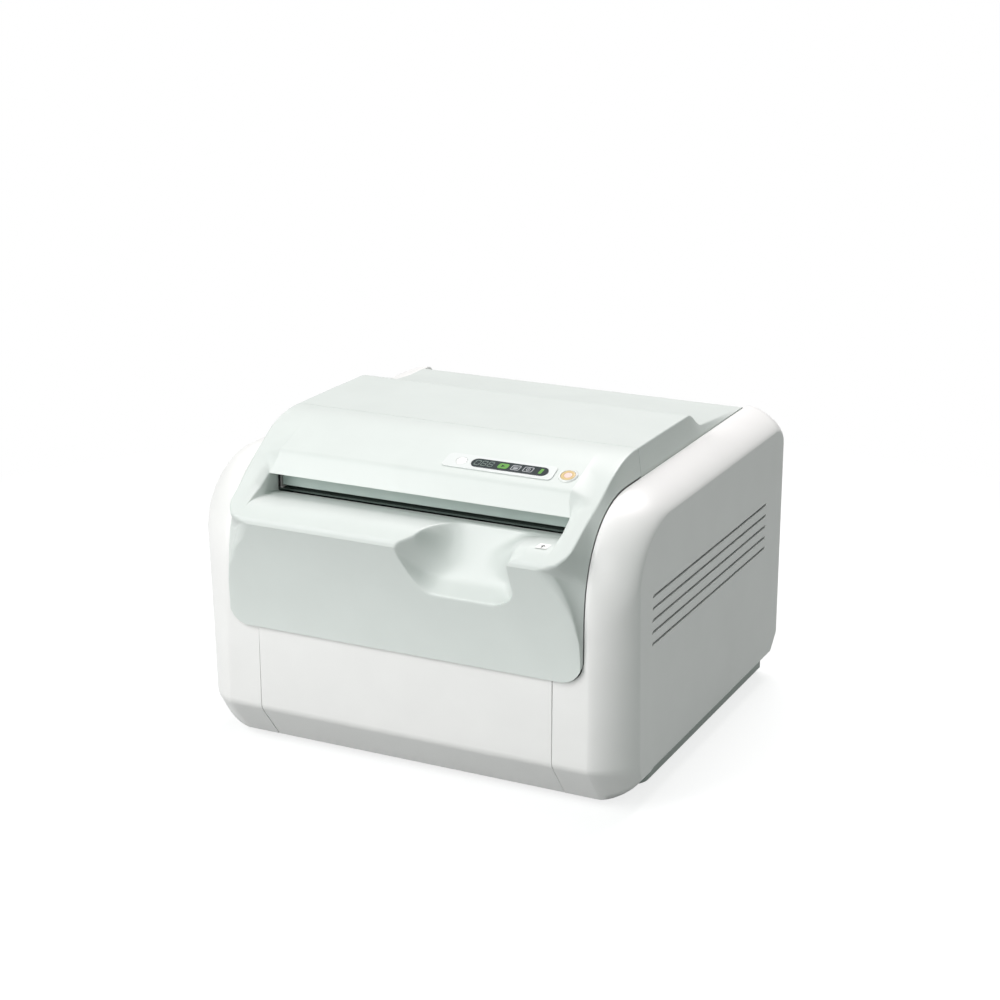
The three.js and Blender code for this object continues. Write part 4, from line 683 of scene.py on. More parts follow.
def fasciaHalf(inner):
    # grid of one half: inner stations, then the wall beside the slot, the arm and the side face
    setback, z, row = armRows.T
    middleRow = middleRows[:, 2]
    start = np.where(row <= 12, smoothTable(sideFace["byRow"], row), smoothTable(sideFace["byHeight"], z))
    edgeSetback, edgeZ = sideEdge(row, setback, z)
    widest = mix(*sideFace["widest"], smoothStep(*sideFace["widestRows"], row))
    crease = mix(sideFace["armCrease"], np.clip(0.5 * (fascia["half"] - start), 1.0, widest),
                 smoothStep(*sideFace["armRows"], row))
    inOpening = (middleRow > 7.0) & (middleRow < 8.0)
    onPanel = 1 - smoothStep(*fascia["panelRows"], middleRow)
    slotX, keep = fascia["slotHalf"], scoop["reach"]
    outer = slotX + mix(fascia["bevelWidth"], fascia["panelBevelWidth"], onPanel)
    closeUp = np.minimum(1, (start - crease * sideFace["creaseRoom"] - keep) / (outer - keep))

    def at(x, rows):
        # columns beyond the scoop close up where the side face starts early
        return column(np.where(x <= keep, x, keep + (x - keep) * closeUp), rows[:, 0], rows[:, 1])

    bevelStart, more = fascia["bevelStart"]
    corners = np.stack([
        at(inner[-1], middleRows), at(slotX - fascia["panelBlend"] * onPanel, middleRows),
        at(slotX + bevelStart + more * onPanel, bevelRows), at(outer, armRows), column(start, setback, z),
        column(fascia["half"], edgeSetback, edgeZ)], axis=1)
    inside, around, wide = fascia["slotSoftness"]
    slotFoot = np.maximum(np.where(inOpening, inside, around), wide * onPanel)[:, None]
    narrow, wide = fascia["bevelSoftness"]
    slotBevel = np.maximum(narrow, wide * onPanel)[:, None]
    softness = [None, slotFoot, slotBevel, sideFace["armSoftness"], crease[:, None], None]
    across = softPath(corners, softness, sideFace["spans"], sideFace["bend"])
    flat = np.stack([at(x, middleRows) for x in inner[:-1]], axis=1)
    half = np.concatenate([flat, across], axis=1)
    # the side face is faired between its crease and its edge, except behind the slot's top
    columns = sideFace["spans"][-1] + 1
    facet = np.zeros(half.shape[:2])
    facet[:, -columns:-1] = 0.5
    facet[row < 7.5] = 0
    polish(half, facet[1:-1, 1:-1, None], sideFace["fairing"][0])
    # and its crease fades out towards the nose
    fadeIn, fadeOut = sideFace["fadeRows"]
    atNose = smoothStep(*fadeIn, row) * (1 - smoothStep(*fadeOut, row))
    facet[:, -columns - sideFace["bend"] - 1:-1] = 0.5 * atNose[:, None]
    polish(half, facet[1:-1, 1:-1, None], sideFace["fairing"][1])
    # below the arm it is slightly hollow
    width = np.linalg.norm(half[:, -1] - half[:, -columns], axis=-1)
    dip = fascia["hollow"] * width * smoothStep(*sideFace["hollowRows"], row)
    bulge = np.sin(np.linspace(0, math.pi, columns))[:, None]
    half[:, -columns:] += dip[:, None, None] * bulge * np.array(sideFace["hollowPush"])
    return half


def makeFascia():
    lastStation = [scoop["lastStation"]]
    scoopStations = np.concatenate([np.arange(*span) for span in scoop["stations"]] + [lastStation])
    plainStations = np.concatenate([np.arange(0, 180, fascia["plainStep"]), lastStation])
    right = fasciaHalf(scoopStations)
    count = len(scoopStations)
    push = scoopPush(right[..., 0], middleRows)[:, :count]
    right[:, :count, 1:] += np.array(scoop["direction"]) * push[..., None]
    # polished inside, so that the lip's creases fade out below the rim
    polish(right[:, :count], smoothStep(*scoop["polishSpan"], push[1:-1, 1:-1])[..., None] * 0.5,
           scoop["polish"])
    grid = bothSides(right, fasciaHalf(plainStations))
    # the lower corners are round: the lower rows close up towards the arc
    rise = cornerRise(grid[..., 0], fascia["half"], fascia["cornerRadius"])
    below = fascia["cornerTop"] - np.minimum(grid[..., 2], fascia["cornerTop"])
    grid[..., 2] += below * rise / (fascia["cornerTop"] - fascia["apron"][1])
    columns = grid.shape[1]
    slotLeft, slotRight = [int(np.argmin(np.abs(grid[slotFootRow, :, 0] - side * fascia["slotHalf"])))
                           for side in (-1, 1)]

    def isOpen(r, c):
        return slotTopRow <= r < slotFootRow and slotLeft <= c < slotRight

    # duct behind the slot's mouth
    loop = ([(slotTopRow, c) for c in range(slotLeft, slotRight)]
            + [(r, slotRight) for r in range(slotTopRow, slotFootRow)]
            + [(slotFootRow, c) for c in range(slotRight, slotLeft, -1)]
            + [(r, slotLeft) for r in range(slotFootRow, slotTopRow, -1)])
    mouth = np.array([grid[r, c] for r, c in loop])
    rear = fascia["ductDepth"] + fascia["slotTop"][0] + lipY
    fall = fascia["ductFall"] * smoothStep(fascia["slotTop"][1], fascia["shelf"][1], mouth[:, 2])
    points = np.concatenate([grid.reshape(-1, 3), column(mouth[:, 0], rear, mouth[:, 2] - fall)])
    first = rowCount * columns
    edge = [r * columns + c for r, c in loop]
    duct = [(edge[k], edge[(k + 1) % len(edge)], first + (k + 1) % len(edge), first + k)
            for k in range(len(edge))]
    thing = meshObject("frontFascia", points, gridFaces(rowCount, columns, isOpen) + duct, paleGreenAbs)
    cleanUp(thing, 0.02)
    faceTowards(thing, (0, 0, 1))
    return thing


frontFascia = makeFascia()
print("fascia grid made")

# Controls on the sloping panel, in the panel's own frame: x, up the slope from the crease, and outwards
panelPlace = (Matrix.Translation(Vector((0, lipY + creaseSetback, creaseZ)) * millimetre)
              @ Matrix.Rotation(math.radians(fascia["panel"][1]), 4, "X"))
up = 25.5   # middle line of the controls
display = {"left": 53.0, "right": 149.0, "height": 15.5, "low": 0.25, "high": 1.35, "play": 0.25}
powerKey = {"x": 173.4, "radius": 8.6, "bezel": 11.4, "centre": 4.6, "hole": 1.1}
selectKey = {"x": 40.4, "radius": 6.4, "groove": 5.0, "hole": 0.5}
overlay = {"left": 19.0, "right": 157.0, "height": 25.0, "low": 0.25, "high": 1.05, "corner": 5.0,
           "slant": 1.6, "bow": 1.2, "inset": 1.4}


def pillOutline(x0, x1, height):
    return roundedOutline(x0, x1, up - height / 2, up + height / 2, height / 2 - 0.05, 10)


def lathedOnPanel(name, profile, x, material, sides=64):
    thing = turned(profile, "z", (x, up, 0), sides, name, material)
    thing.data.transform(panelPlace)
    return thing


def overlayOutline():
    # the left edge is slanted and slightly bowed
    half = overlay["height"] / 2
    outline = []
    for x, y in roundedOutline(overlay["left"], overlay["right"], up - half, up + half, overlay["corner"]):
        if x < display["left"]:
            bow = overlay["bow"] * (1 - ((y - up) / half) ** 2)
            x = max(x + (overlay["slant"] * (y - up) / half - bow) + overlay["inset"], overlay["left"])
        outline.append((x, y))
    return outline


def makeControls():
    play = display["play"]
    film = plate("controlOverlay", [
        overlayOutline(),
        pillOutline(display["left"] - play, display["right"] + play, display["height"] + 2 * play),
        circleOutline(selectKey["x"], up, selectKey["radius"] + 0.4)],
        overlay["low"], overlay["high"], 0.2, overlayFilm, panelPlace)
    finishPiece(film, "control_overlay")
    window = plate("displayWindow", [pillOutline(display["left"], display["right"], display["height"])],
                   display["low"], display["high"], 0.4, displayFilm, panelPlace, 3)
    finishPiece(window, "display_window")

    x, r, bezel, c = [powerKey[key] for key in ("x", "radius", "bezel", "centre")]
    ring = lathedOnPanel("powerBezel", [
        (r + 0.35, 0.25), (r + 0.35, 1.2), (r + 0.6, 1.5), (r + 1.2, 1.6), (bezel - 1.0, 1.25),
        (bezel - 0.35, 0.8), (bezel, 0.3), (bezel, 0.25), (r + 0.35, 0.25)], x, bezelAbs)
    finishPiece(ring, "power_bezel")
    button = lathedOnPanel("powerButton", [
        (0, -5.4), (r, -5.4), (r, 0.9), (r - 0.3, 1.3), (r - 0.8, 1.45), (c + 0.35, 1.45), (c + 0.3, 0.9),
        (0, 0.9)], x, powerAmber)
    finishPiece(button, "power_button", body="power_key")
    cap = lathedOnPanel("powerButtonCentre", [
        (0, 0.95), (c, 0.95), (c, 1.3), (c - 0.25, 1.52), (c - 0.8, 1.62), (0, 1.7)], x, powerCentre)
    finishPiece(cap, body="power_key")

    x, s, groove = [selectKey[key] for key in ("x", "radius", "groove")]
    key = lathedOnPanel("selectButton", [
        (0, -4.8), (s, -4.8), (s, 0.75), (s - 0.25, 1.05), (s - 0.6, 1.15), (groove + 0.25, 1.15),
        (groove + 0.05, 0.8), (groove - 0.15, 0.8), (groove - 0.35, 1.1), (groove - 0.7, 1.2), (0, 1.2)],
        x, selectWhite, 48)
    finishPiece(key, "select_button", body="select_key")


makeControls()

# printed symbols on the window: three digits, a filled mark, two outlined marks and a bar
symbols = {
    "digits": {57.6: "abcdef", 65.9: "abcdefg", 74.2: "abcdefg"},
    "digit": (6.6, 4.7, 1.0),   # width, half the height, stroke
    "green": (87.0, 99.6),
    "greys": [(103.4, 114.4), (118.4, 130.4)],
    "bar": (138.4, 142.2),
    "height": 9.0,
    "lean": 0.16,
    "rise": 0.06,
}


def printed(name, outlines, material):
    low = display["high"]
    leaning = [[(x + (y - up) * symbols["lean"], y) for x, y in outline] for outline in outlines]
    return plate(name, leaning, low, low + symbols["rise"], 0.015, material, panelPlace, 1)


def segmentDigit(x, bars):
    # the seven bars of a digit, lettered clockwise from the top, g in the middle
    w, h, t = symbols["digit"]
    upper = (up + t * 0.7, up + h - t * 0.6)
    lower = (up - h + t * 0.6, up - t * 0.7)
    level, left, right = (x + t, x + w - t), (x, x + t), (x + w - t, x + w)
    places = {"a": (*level, up + h - t, up + h), "g": (*level, up - t / 2, up + t / 2),
              "d": (*level, up - h, up - h + t), "f": (*left, *upper), "b": (*right, *upper),
              "e": (*left, *lower), "c": (*right, *lower)}
    return [roundedOutline(*places[bar], 0.35, 2) for bar in bars]


def makeSymbols():
    half = symbols["height"] / 2

    def mark(x0, x1, radius, inset=0.0):
        return roundedOutline(x0 + inset, x1 - inset, up - half + inset, up + half - inset, radius)

    digits = [printed(f"digit{k}{n}", [outline], symbolGrey)
              for k, (x, bars) in enumerate(symbols["digits"].items())
              for n, outline in enumerate(segmentDigit(x, bars))]
    finishPiece(joinTogether("displayDigits", digits))

    x0, x1 = symbols["green"]
    arrow = [(x0 + 4.0, up - 2.2), (x0 + 8.6, up - 0.1), (x0 + 4.0, up + 2.2)]
    greens = [printed("mark0", [mark(x0, x1, 2.6), arrow], symbolGreenWithPaintedGlow),
              printed("mark1", [mark(*symbols["bar"], 1.2)], symbolGreenWithPaintedGlow)]
    finishPiece(joinTogether("displayMarksGreen", greens))

    # a cassette under its slot, and a ring with a dot for service
    (x0, x1), (x2, x3) = symbols["greys"]
    cx = (x2 + x3) / 2
    greys = [printed(name, outlines, symbolPale) for name, outlines in (
        ("outline0", [mark(x0, x1, 1.8), mark(x0, x1, 1.0, 1.1)]),
        ("cassette", [roundedOutline(x0 + 2.6, x1 - 2.6, up - 2.6, up + 0.6, 0.6)]),
        ("slotLine", [roundedOutline(x0 + 2.0, x1 - 2.0, up + 1.5, up + 2.3, 0.3)]),
        ("outline1", [mark(x2, x3, 1.8), mark(x2, x3, 1.0, 1.1)]),
        ("ring", [circleOutline(cx, up, 2.6), circleOutline(cx, up, 1.7)]),
        ("dot", [circleOutline(cx, up, 0.8, 20)]))]
    finishPiece(joinTogether("displayMarksGrey", greys))


makeSymbols()


def openHole(thing, x, radius):
    # opens a round hole in the panel's skin before it is given its thickness
    toPanel = panelPlace.inverted()
    skinDepth, rimReach = 2, 1.5 * radius
    edit = openMesh(thing)
    centre = Vector((x, up, 0))
    farAway = Vector((0, 0, 1e6))

    def offset(point):
        gap = toPanel @ point / millimetre - centre
        return gap if abs(gap.z) < skinDepth else farAway

    inside = [f for f in edit.faces if offset(f.calc_center_median()).length < radius]
    bmesh.ops.delete(edit, geom=inside, context="FACES")
    for vertex in edit.verts:
        gap = offset(vertex.co)
        if vertex.is_boundary and gap.length < rimReach:
            rim = Vector((gap.x, gap.y, 0)).normalized() * radius + Vector((0, 0, gap.z))
            vertex.co = panelPlace @ ((centre + rim) * millimetre)
    closeMesh(edit, thing.data)


for key in (powerKey, selectKey):
    openHole(frontFascia, key["x"], key["radius"] + key["hole"])
thicken(frontFascia, fascia["wall"])
settle(frontFascia, 50)
finishPiece(frontFascia, "front_fascia")

# label on the shelf beside the scoop, with an arrow towards the slot
sticker = {"x": (173.0, 186.5), "y": (-253.0, -237.0), "low": 0.02, "thick": 0.12, "ink": 0.05}


def makeLabel():
    (x0, x1), (y0, y1) = sticker["x"], sticker["y"]
    low, top = sticker["low"], sticker["low"] + sticker["thick"]
    place = Matrix.Translation((0, 0, fascia["shelf"][1] * millimetre))
    label = plate("shelfLabel", [roundedOutline(x0, x1, y0, y1, 1.2)], low, top, 0.03, labelWhite, place, 1)
    finishPiece(label)
    cx = (x0 + x1) / 2
    arrow = [(cx - 0.8, y0 + 2.5), (cx + 0.8, y0 + 2.5), (cx + 0.8, y0 + 7.2), (cx + 3.0, y0 + 7.2),
             (cx, y0 + 11.4), (cx - 3.0, y0 + 7.2), (cx - 0.8, y0 + 7.2)]
    sign = plate("shelfLabelSign", [arrow], top, top + sticker["ink"], 0.012, labelInk, place, 1)
    finishPiece(sign)


makeLabel()
print("controls made")


# Top lid
lid = {
    "rows": [(187.7, 392.0), (265.0, 392.0), (343.0, 391.3)],
    "step": (48.0, 22.0),       # length and drop of the wave behind the crest
    "crestZ": 391.2,
    "after": [(457.5, 363.1), (524.0, 359.0), (532.0, 350.0), (532.0, 346.0)],
    "foot": 346.0,
    "start": 224.0,             # where its side slopes down to the cover
    "roof": 13,                 # columns on each half of the top
    "slopeWidth": 6.0,
    "slopeSoftness": 2.2,
    "waveSteps": 16,
    "wall": 2.6,
    "edge": 0.6,
    "lip": ((-215, 215), (-86.0, -84.0), (380.0, 390.0)),   # under the seam
    "ear": [(-6, 358), (-6, 342), (-3, 339), (3, 339), (6, 342), (6, 350.5), (3, 354.2), (0, 356.4)],
    "earX": (206.4, 209.4),
    "hingeY": 250.0,
    "pinHole": (0, 345.0, 2.85),
}


def lidOutline():
    length, drop = lid["step"]
    crest, count = lid["rows"][-1][0], lid["waveSteps"]
    wave = [(crest + length * share, lid["crestZ"] - drop * (1 - math.cos(share * math.pi)) / 2)
            for share in [k / count for k in range(1, count + 1)]]
    softness = [None] * (3 + count) + [40.0, 7.0, 2.0, None]
    spans = [5, 6] + [1] * count + [5, 5, 2, 2]
    return softPath(lid["rows"] + wave + lid["after"], softness, spans)


def makeLid():
    setback, z = lidOutline().T
    start, flat = lid["start"], lid["start"] - lid["slopeWidth"]
    edgeZ = np.minimum(z, coverFace["top"] + proud)
    half = [column(x, setback, z) for x in np.linspace(0, flat, lid["roof"])[:-1]]
    corners = [column(flat, setback, z), column(start, setback, z), column(fascia["half"], setback, edgeZ)]
    side = softPath(np.stack(corners, axis=1), [None, lid["slopeSoftness"], None], [2, 6], 6)
    half += [side[:, k] for k in range(side.shape[1])]
    foot = half[-1].copy()
    foot[:, 2] = lid["foot"]
    right = np.stack(half + [mix(half[-1], foot, 0.5), foot], axis=1)
    grid = bothSides(right, right)
    thing = meshObject("topLid", grid.reshape(-1, 3), gridFaces(*grid.shape[:2]), paleGreenAbs)
    cleanUp(thing, 0.02, outward=False)
    faceTowards(thing, (0, 0, 1))
    thicken(thing, lid["wall"])
    roundEdges(thing, lid["edge"], 2, 55)
    settle(thing, 50)
    parts = [thing, boxPiece("lidLip", *lid["lip"], paleGreenAbs, 0.4)]
    parts += [profilePiece("lidEar", lid["ear"], lid["hingeY"], *lid["earX"], sign, paleGreenAbs, 0.5,
                           hole=lid["pinHole"]) for sign in (-1, 1)]
    finishPiece(joinTogether("topLidShell", parts), "top_lid", body="lid")


makeLid()
print("lid made")

# Side covers: rings from the inner edge to the flat side, each a mix of an inner and an outer outline
cover = {
    "inner": 229.3,
    "flatEnd": 234.0,
    "outer": 280.0,
    "power": 1.45,
    "foot": (67.5, 8.0),
    "kink": (30.2, 56.0),
    "kinkSoftness": 6.0,
    "plinthSoftness": [2.5, 2.5, 2.0],
    "outerFront": (67.0, 13.0),             # setback and lean
    "outerShoulder": (82.0, 66.0, 269.0),   # depth, rise and height
    "outerPower": 1.8,
    "outerFoot": 38.0,
    "outerRows": (54, 196),
    "rear": 548.0,
    "rearInset": 10.0,
    "rearDrop": 23.0,
    "rearCorner": (30.0, 20.0),
    "plinthSetback": 120.0,
    "plinthZ": 22.0,
    "shoulderSteps": 26,
    "cornerSteps": 6,
    "roundSteps": 21,
    "footSteps": 5,
    "wingSteps": 12,
    "wingInner": 191.6,                     # the wing lies under the apron
    "apronFoot": 161.3,
    "cornerRadius": 26.0,
    "wall": 2.6,
    "edge": 0.5,
    "capShare": 0.95,
    "lip": 16.0,
    "lipSpans": ((500, 545), (60, 130), (190, 206)),    # rear setbacks, front setbacks, front heights
}
louvre = {"count": 5, "pitch": 14.3, "height": 3.4, "topZ": 249.0, "setbacks": (102.5, 476.5), "cant": 3.0,
          "cut": (268, 292)}


def coverRings():
    # the same list of corners on the inner and the outer face: setback and height
    leadSetback, lean = cover["outerFront"]
    depth, rise, shoulderZ = cover["outerShoulder"]
    foot, rear, top = cover["outerFoot"], cover["rear"], coverFace["top"]

    def outerFront(z):
        return leadSetback + lean * (1 - z / shoulderZ)

    inner = [cover["foot"], cover["kink"],
             (coverFace["setback"] - 0.05, cover["apronFoot"] + cover["cornerRadius"])]
    outer = [(outerFront(foot) + 3, foot)] + [(outerFront(z), z) for z in cover["outerRows"]]
    steps = cover["shoulderSteps"]
    for share in [1 - k / steps for k in range(steps + 1)]:
        across, back = sweep(share, coverFace["power"])
        inner.append((coverFace["setback"] + coverFace["depth"] * (1 - across),
                      coverFace["shoulderZ"] + coverFace["rise"] * (1 - back)))
        across, back = sweep(share, cover["outerPower"])
        outer.append((leadSetback + depth * (1 - across), shoulderZ + rise * (1 - back)))
    rearOuter = rear - cover["rearInset"]
    cornerDepth, cornerDrop = cover["rearCorner"]
    corner = cover["cornerSteps"]
    for k in range(corner + 1):
        across, fall = sweep(k / corner, 2)
        inner.append((rear - cornerDepth / 2 * (1 - across), top - cornerDrop / 2 * fall))
        outer.append((rearOuter - cornerDepth * (1 - across), top - cover["rearDrop"] - cornerDrop * fall))
    plinth, plinthZ = cover["plinthSetback"], cover["plinthZ"]
    inner += [(rear, plinthZ + 6), (rear - 3, plinthZ), (plinth, plinthZ), (plinth - 6, cover["foot"][1]),
              cover["foot"]]
    outer += [(rearOuter, foot + 20), (rearOuter - 20, foot), (plinth, foot), (plinth - 6, foot), outer[0]]
    softness = [None, cover["kinkSoftness"], *[None] * (steps + corner + 3), *cover["plinthSoftness"],
                None, None]
    spans = [cover["footSteps"], cover["wingSteps"], 4, *[1] * steps, 10, *[1] * corner, 8, 1, 12, 1, 3]
    return softPath([inner, outer], softness, spans)[:, :-1]


def makeWing(edgeColumn, kinkRow):
    # columns from the door's side out to the cover's first ring, whose front edge they share
    inner, radius = cover["inner"], cover["cornerRadius"]
    base = edgeColumn[kinkRow, 2]
    reach = edgeColumn[-1, 2] - base
    roundShares = np.linspace(0.12, 1, 12)[:-1]
    wing = []
    for x in np.concatenate([np.linspace(cover["wingInner"], inner - radius, 4),
                             inner - radius * np.cos(roundShares * math.pi / 2)]):
        topZ = cover["apronFoot"] + cornerRise(x, inner, radius)
        part = edgeColumn.copy()
        part[:, 0] = x
        part[kinkRow:, 2] = base + (edgeColumn[kinkRow:, 2] - base) * (topZ - base) / reach
        wing.append(part)
    return wing


def makeCover(sign):
    inner, outer = coverRings()
    count = len(inner)
    stations = [(cover["inner"], 0.0), (mix(cover["inner"], cover["flatEnd"], 0.5), 0.0)]
    for share in np.linspace(0, 1, cover["roundSteps"] + 1):
        across, back = sweep(share, cover["power"])
        stations.append((mix(cover["flatEnd"], cover["outer"], across), 1.0 if share == 1 else back))
    rings = []
    for x, share in stations:
        setback, z = mix(inner, outer, share).T
        rings.append(column(x, setback + lipY, z))
    # the flat side has a narrow border, so that it shades flat
    border = rings[-1].copy()
    border[:, 1:] = mix(border[:, 1:].mean(axis=0), border[:, 1:], cover["capShare"])
    # return lips beside the rear panel and the fascia
    lip = rings[0].copy()
    behind = lip[:, 1] - lipY
    atRear, nearFront, high = cover["lipSpans"]
    lip[:, 1] -= cover["lip"] * smoothStep(*atRear, behind)
    lip[:, 1] += cover["lip"] * (1 - smoothStep(*nearFront, behind)) * smoothStep(*high, lip[:, 2])
    moved = lip[:, 1] != rings[0][:, 1]
    kinkRow = cover["footSteps"] + 5    # the kink itself is a curve of five steps
    wingRows = kinkRow + cover["wingSteps"] + 1
    wing = makeWing(rings[0][:wingRows], kinkRow)
    points = np.concatenate([*rings, border, lip, *wing])

    last = len(rings) * count
    faces = []
    for r in range(len(rings)):
        faces += ringFaces(r * count, (r + 1) * count, count)
    faces.append(tuple(last + k for k in range(count)))
    faces += [face for k, face in enumerate(ringFaces(last + count, 0, count))
              if moved[k] or moved[(k + 1) % count]]
    for c in range(len(wing)):
        for r in range(wingRows - 1):
            a = last + 2 * count + c * wingRows + r
            b = a + wingRows if c < len(wing) - 1 else r
            faces.append((a, b, b + 1, a + 1))
    points[:, 0] *= sign
    side = "Right" if sign > 0 else "Left"
    thing = meshObject("sideCover" + side, points, faces, whiteAbs)
    cleanUp(thing, 0.01)
    faceTowards(thing, (sign, 0, 0))
    thicken(thing, cover["wall"])
    settle(thing)

    y0, y1 = [lipY + s for s in louvre["setbacks"]]
    h, cant = louvre["height"] / 2, louvre["cant"]
    slots = []
    for z in [louvre["topZ"] - k * louvre["pitch"] for k in range(louvre["count"])]:
        outline = [(y0, z - h), (y1, z - h), (y1 + cant, z + h), (y0 + cant, z + h)]
        slots.append(profilePiece("louvreSlot", outline, 0, *louvre["cut"], sign, whiteAbs, 0.01))
    cutAway(thing, joinTogether("louvreSlots", slots))
    roundEdges(thing, cover["edge"], 2, 50)
    settle(thing, 40)
    finishPiece(thing, "side_cover_" + side.lower())


for sign in (-1, 1):
    makeCover(sign)
print("side covers made")

# Front door
door = {
    "half": 190.9,
    "face": [(68.4, 7.5), (30.2, 56.0), (29.6, 160.6)],     # foot, kink and top
    "kinkSoftness": 6.0,
    "flange": (15.0, 4.0),                                  # depth above and at the foot
    "flangeRise": 40.0,
    "wall": 2.6,
    "edge": 0.9,
    "rib": [(34.5, 62), (41.5, 66), (41.5, 150), (34.0, 156)],
    "ribs": (60, 120),
}
doorHinge = {"setback": 76.0, "z": 14.0, "ear": (173.6, 176.8), "boss": 5.0, "pinHole": 2.65}


def makeDoor():
    (footS, footZ), (kinkS, kinkZ), (topS, topZ) = door["face"]
    depth, footDepth = door["flange"]
    face = softPath(door["face"], [None, door["kinkSoftness"], None], [8, 14])
    setback, z = np.concatenate([[(topS + depth, topZ)], face[::-1]]).T
    # the sides turn back into flanges
    half = door["half"]
    xs = [-half, *np.linspace(-half, half, 41), half]
    grid = np.stack([column(x, setback + lipY, z) for x in xs], axis=1)
    above = smoothStep(footZ, footZ + door["flangeRise"], z[1:])
    grid[1:, [0, -1], 1] += (depth * above + footDepth * (1 - above))[:, None]
    thing = meshObject("frontDoor", grid.reshape(-1, 3), gridFaces(*grid.shape[:2]), whiteAbs)
    cleanUp(thing, 0.02)
    faceTowards(thing, (0, -1, 0))
    thicken(thing, door["wall"], even=True)
    roundEdges(thing, door["edge"], 3, 50)
    settle(thing, 40)
    parts = [thing]
    # hinge ears from the boss round the pin up to the kink, and stiffening ribs
    s, hingeZ, r = doorHinge["setback"], doorHinge["z"], doorHinge["boss"]
    ear = [(footS + 3, 9.5), (s, hingeZ - r), (s + 3.5, hingeZ - 3.5), (s + r, hingeZ),
           (s + 3.5, hingeZ + 3.5), (s, hingeZ + r), (kinkS + 8, kinkZ - 2), (kinkS + 3, kinkZ - 3.5)]
    for side in (-1, 1):
        parts.append(profilePiece("doorEar", ear, lipY, *doorHinge["ear"], side, whiteAbs, 0.4,
                                  hole=(s, hingeZ, doorHinge["pinHole"])))
        for x in door["ribs"]:
            parts.append(profilePiece("doorRib", door["rib"], lipY, x - 1, x + 1, side, whiteAbs, 0.3))
    finishPiece(joinTogether("frontDoorPanel", parts), "front_door", body="door")


makeDoor()
print("door made")

# Feet and slot flap
footPad = {
    "radius": 15.0,
    "height": 6.0,
    "places": {"foot_front_left": (-222, -124), "foot_front_right": (222, -124),
               "foot_rear_left": (-222, 232), "foot_rear_right": (222, 232)},
}
flap = {"y": -184.0, "z": 346.0, "half": 188.0, "thick": 2.0, "length": 26.0, "pin": 2.5, "shaftEnd": 201.5}


def makeFeet():
    r, h = footPad["radius"], footPad["height"]
    profile = [(0, 0.8), (r - 7, 0.8), (r - 6.2, 0.05), (r - 1.6, 0.0), (r - 0.5, 0.5), (r, 1.4),
               (r - 1.2, h - 0.6), (r - 1.8, h), (0, h)]
    for k, (node, (x, y)) in enumerate(footPad["places"].items()):
        pad = turned(profile, "z", (x, y, 0), 40, f"rubberFoot{k}", footRubber)
        settle(pad, 40)
        finishPiece(pad, node)


def makeFlap():
    y, z, t, foot = flap["y"], flap["z"], flap["thick"] / 2, -flap["length"]
    outline = [(-t, foot + 0.8), (-t + 0.5, foot), (t, foot), (t, -9.5), (t, -1), (-t, -1), (-t, -8.0),
               (-t + 0.7, -8.7), (-t + 0.7, -9.8), (-t, -10.5)]
    blade = profilePiece("flapBlade", [(a, b + z) for a, b in outline], y, -flap["half"], flap["half"], 1,
                         flapAbs, 0.12)
    pin, end = flap["pin"], flap["shaftEnd"]
    shaft = turned([(0, -end), (pin - 0.4, -end), (pin, -end + 0.4), (pin, end - 0.4), (pin - 0.4, end),
                    (0, end)], "x", (0, y, z), 24, "flapShaft", flapAbs)
    settle(shaft, 40)
    finishPiece(joinTogether("slotFlapBlade", [blade, shaft]), "slot_flap", body="flap")


makeFeet()
makeFlap()
print("feet and flap made")

# Pieces kept from the frame: finishes given, and edges eased by a few tenths
finishes = [
    (greyGreenAbs, "base_plinth"),
    (rearPaint, "rear_panel"),
    # the tray's dark tone is partly painted shade inside the slot
    (trayPaintWithPaintedShade, "cassette_tray"),
    (opticsPaint, "optics_housing"),
    (motorPaint, "feed_motor"),
    (zincSteel, "door_catch_left door_catch_right frame_plate_left frame_plate_right front_beam rear_beam "
                "optics_shelf power_supply"),
    (brightSteel, "door_pin_left door_pin_right turn_guide laser_module network_port"),
    (castAluminium, "pickup_arm upper_pulley lower_pulley motor_pulley mirror_motor photomultiplier"),
    (mirrorCoat, "polygon_mirror fold_mirror"),
    (whiteAcetal, "cassette_guide_left cassette_guide_right eraser_lamps"),
    (cupRubber, "suction_cup_left suction_cup_right"),
    (rollerRubber, "feed_roller_upper feed_roller_lower pinch_roller_upper pinch_roller_lower"),
    (beltRubber, "drive_belt"),
    (lensGlass, "scan_lens"),
    (guideAcrylic, "light_guide"),
    (boardLaminate, "main_board control_board"),
    (blackAbs, "fan_frame fan_rotor mains_inlet switch_frame power_rocker"),
]
easedEdges = {
    0.25: "frame_plate_left frame_plate_right",
    0.3: "cassette_tray network_port front_beam rear_beam",
    0.4: "rear_panel mains_inlet switch_frame power_rocker door_catch_left door_catch_right fan_frame",
    0.6: "cassette_guide_left cassette_guide_right power_supply pickup_arm",
    0.8: "optics_housing",
    1.0: "base_plinth",
}
for material, nodes in finishes:
    for node in nodes.split():
        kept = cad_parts[node].data
        kept.materials.clear()
        kept.materials.append(material)
for width, nodes in easedEdges.items():
    for node in nodes.split():
        roundEdges(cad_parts[node], width, 2)
print("kept pieces finished")

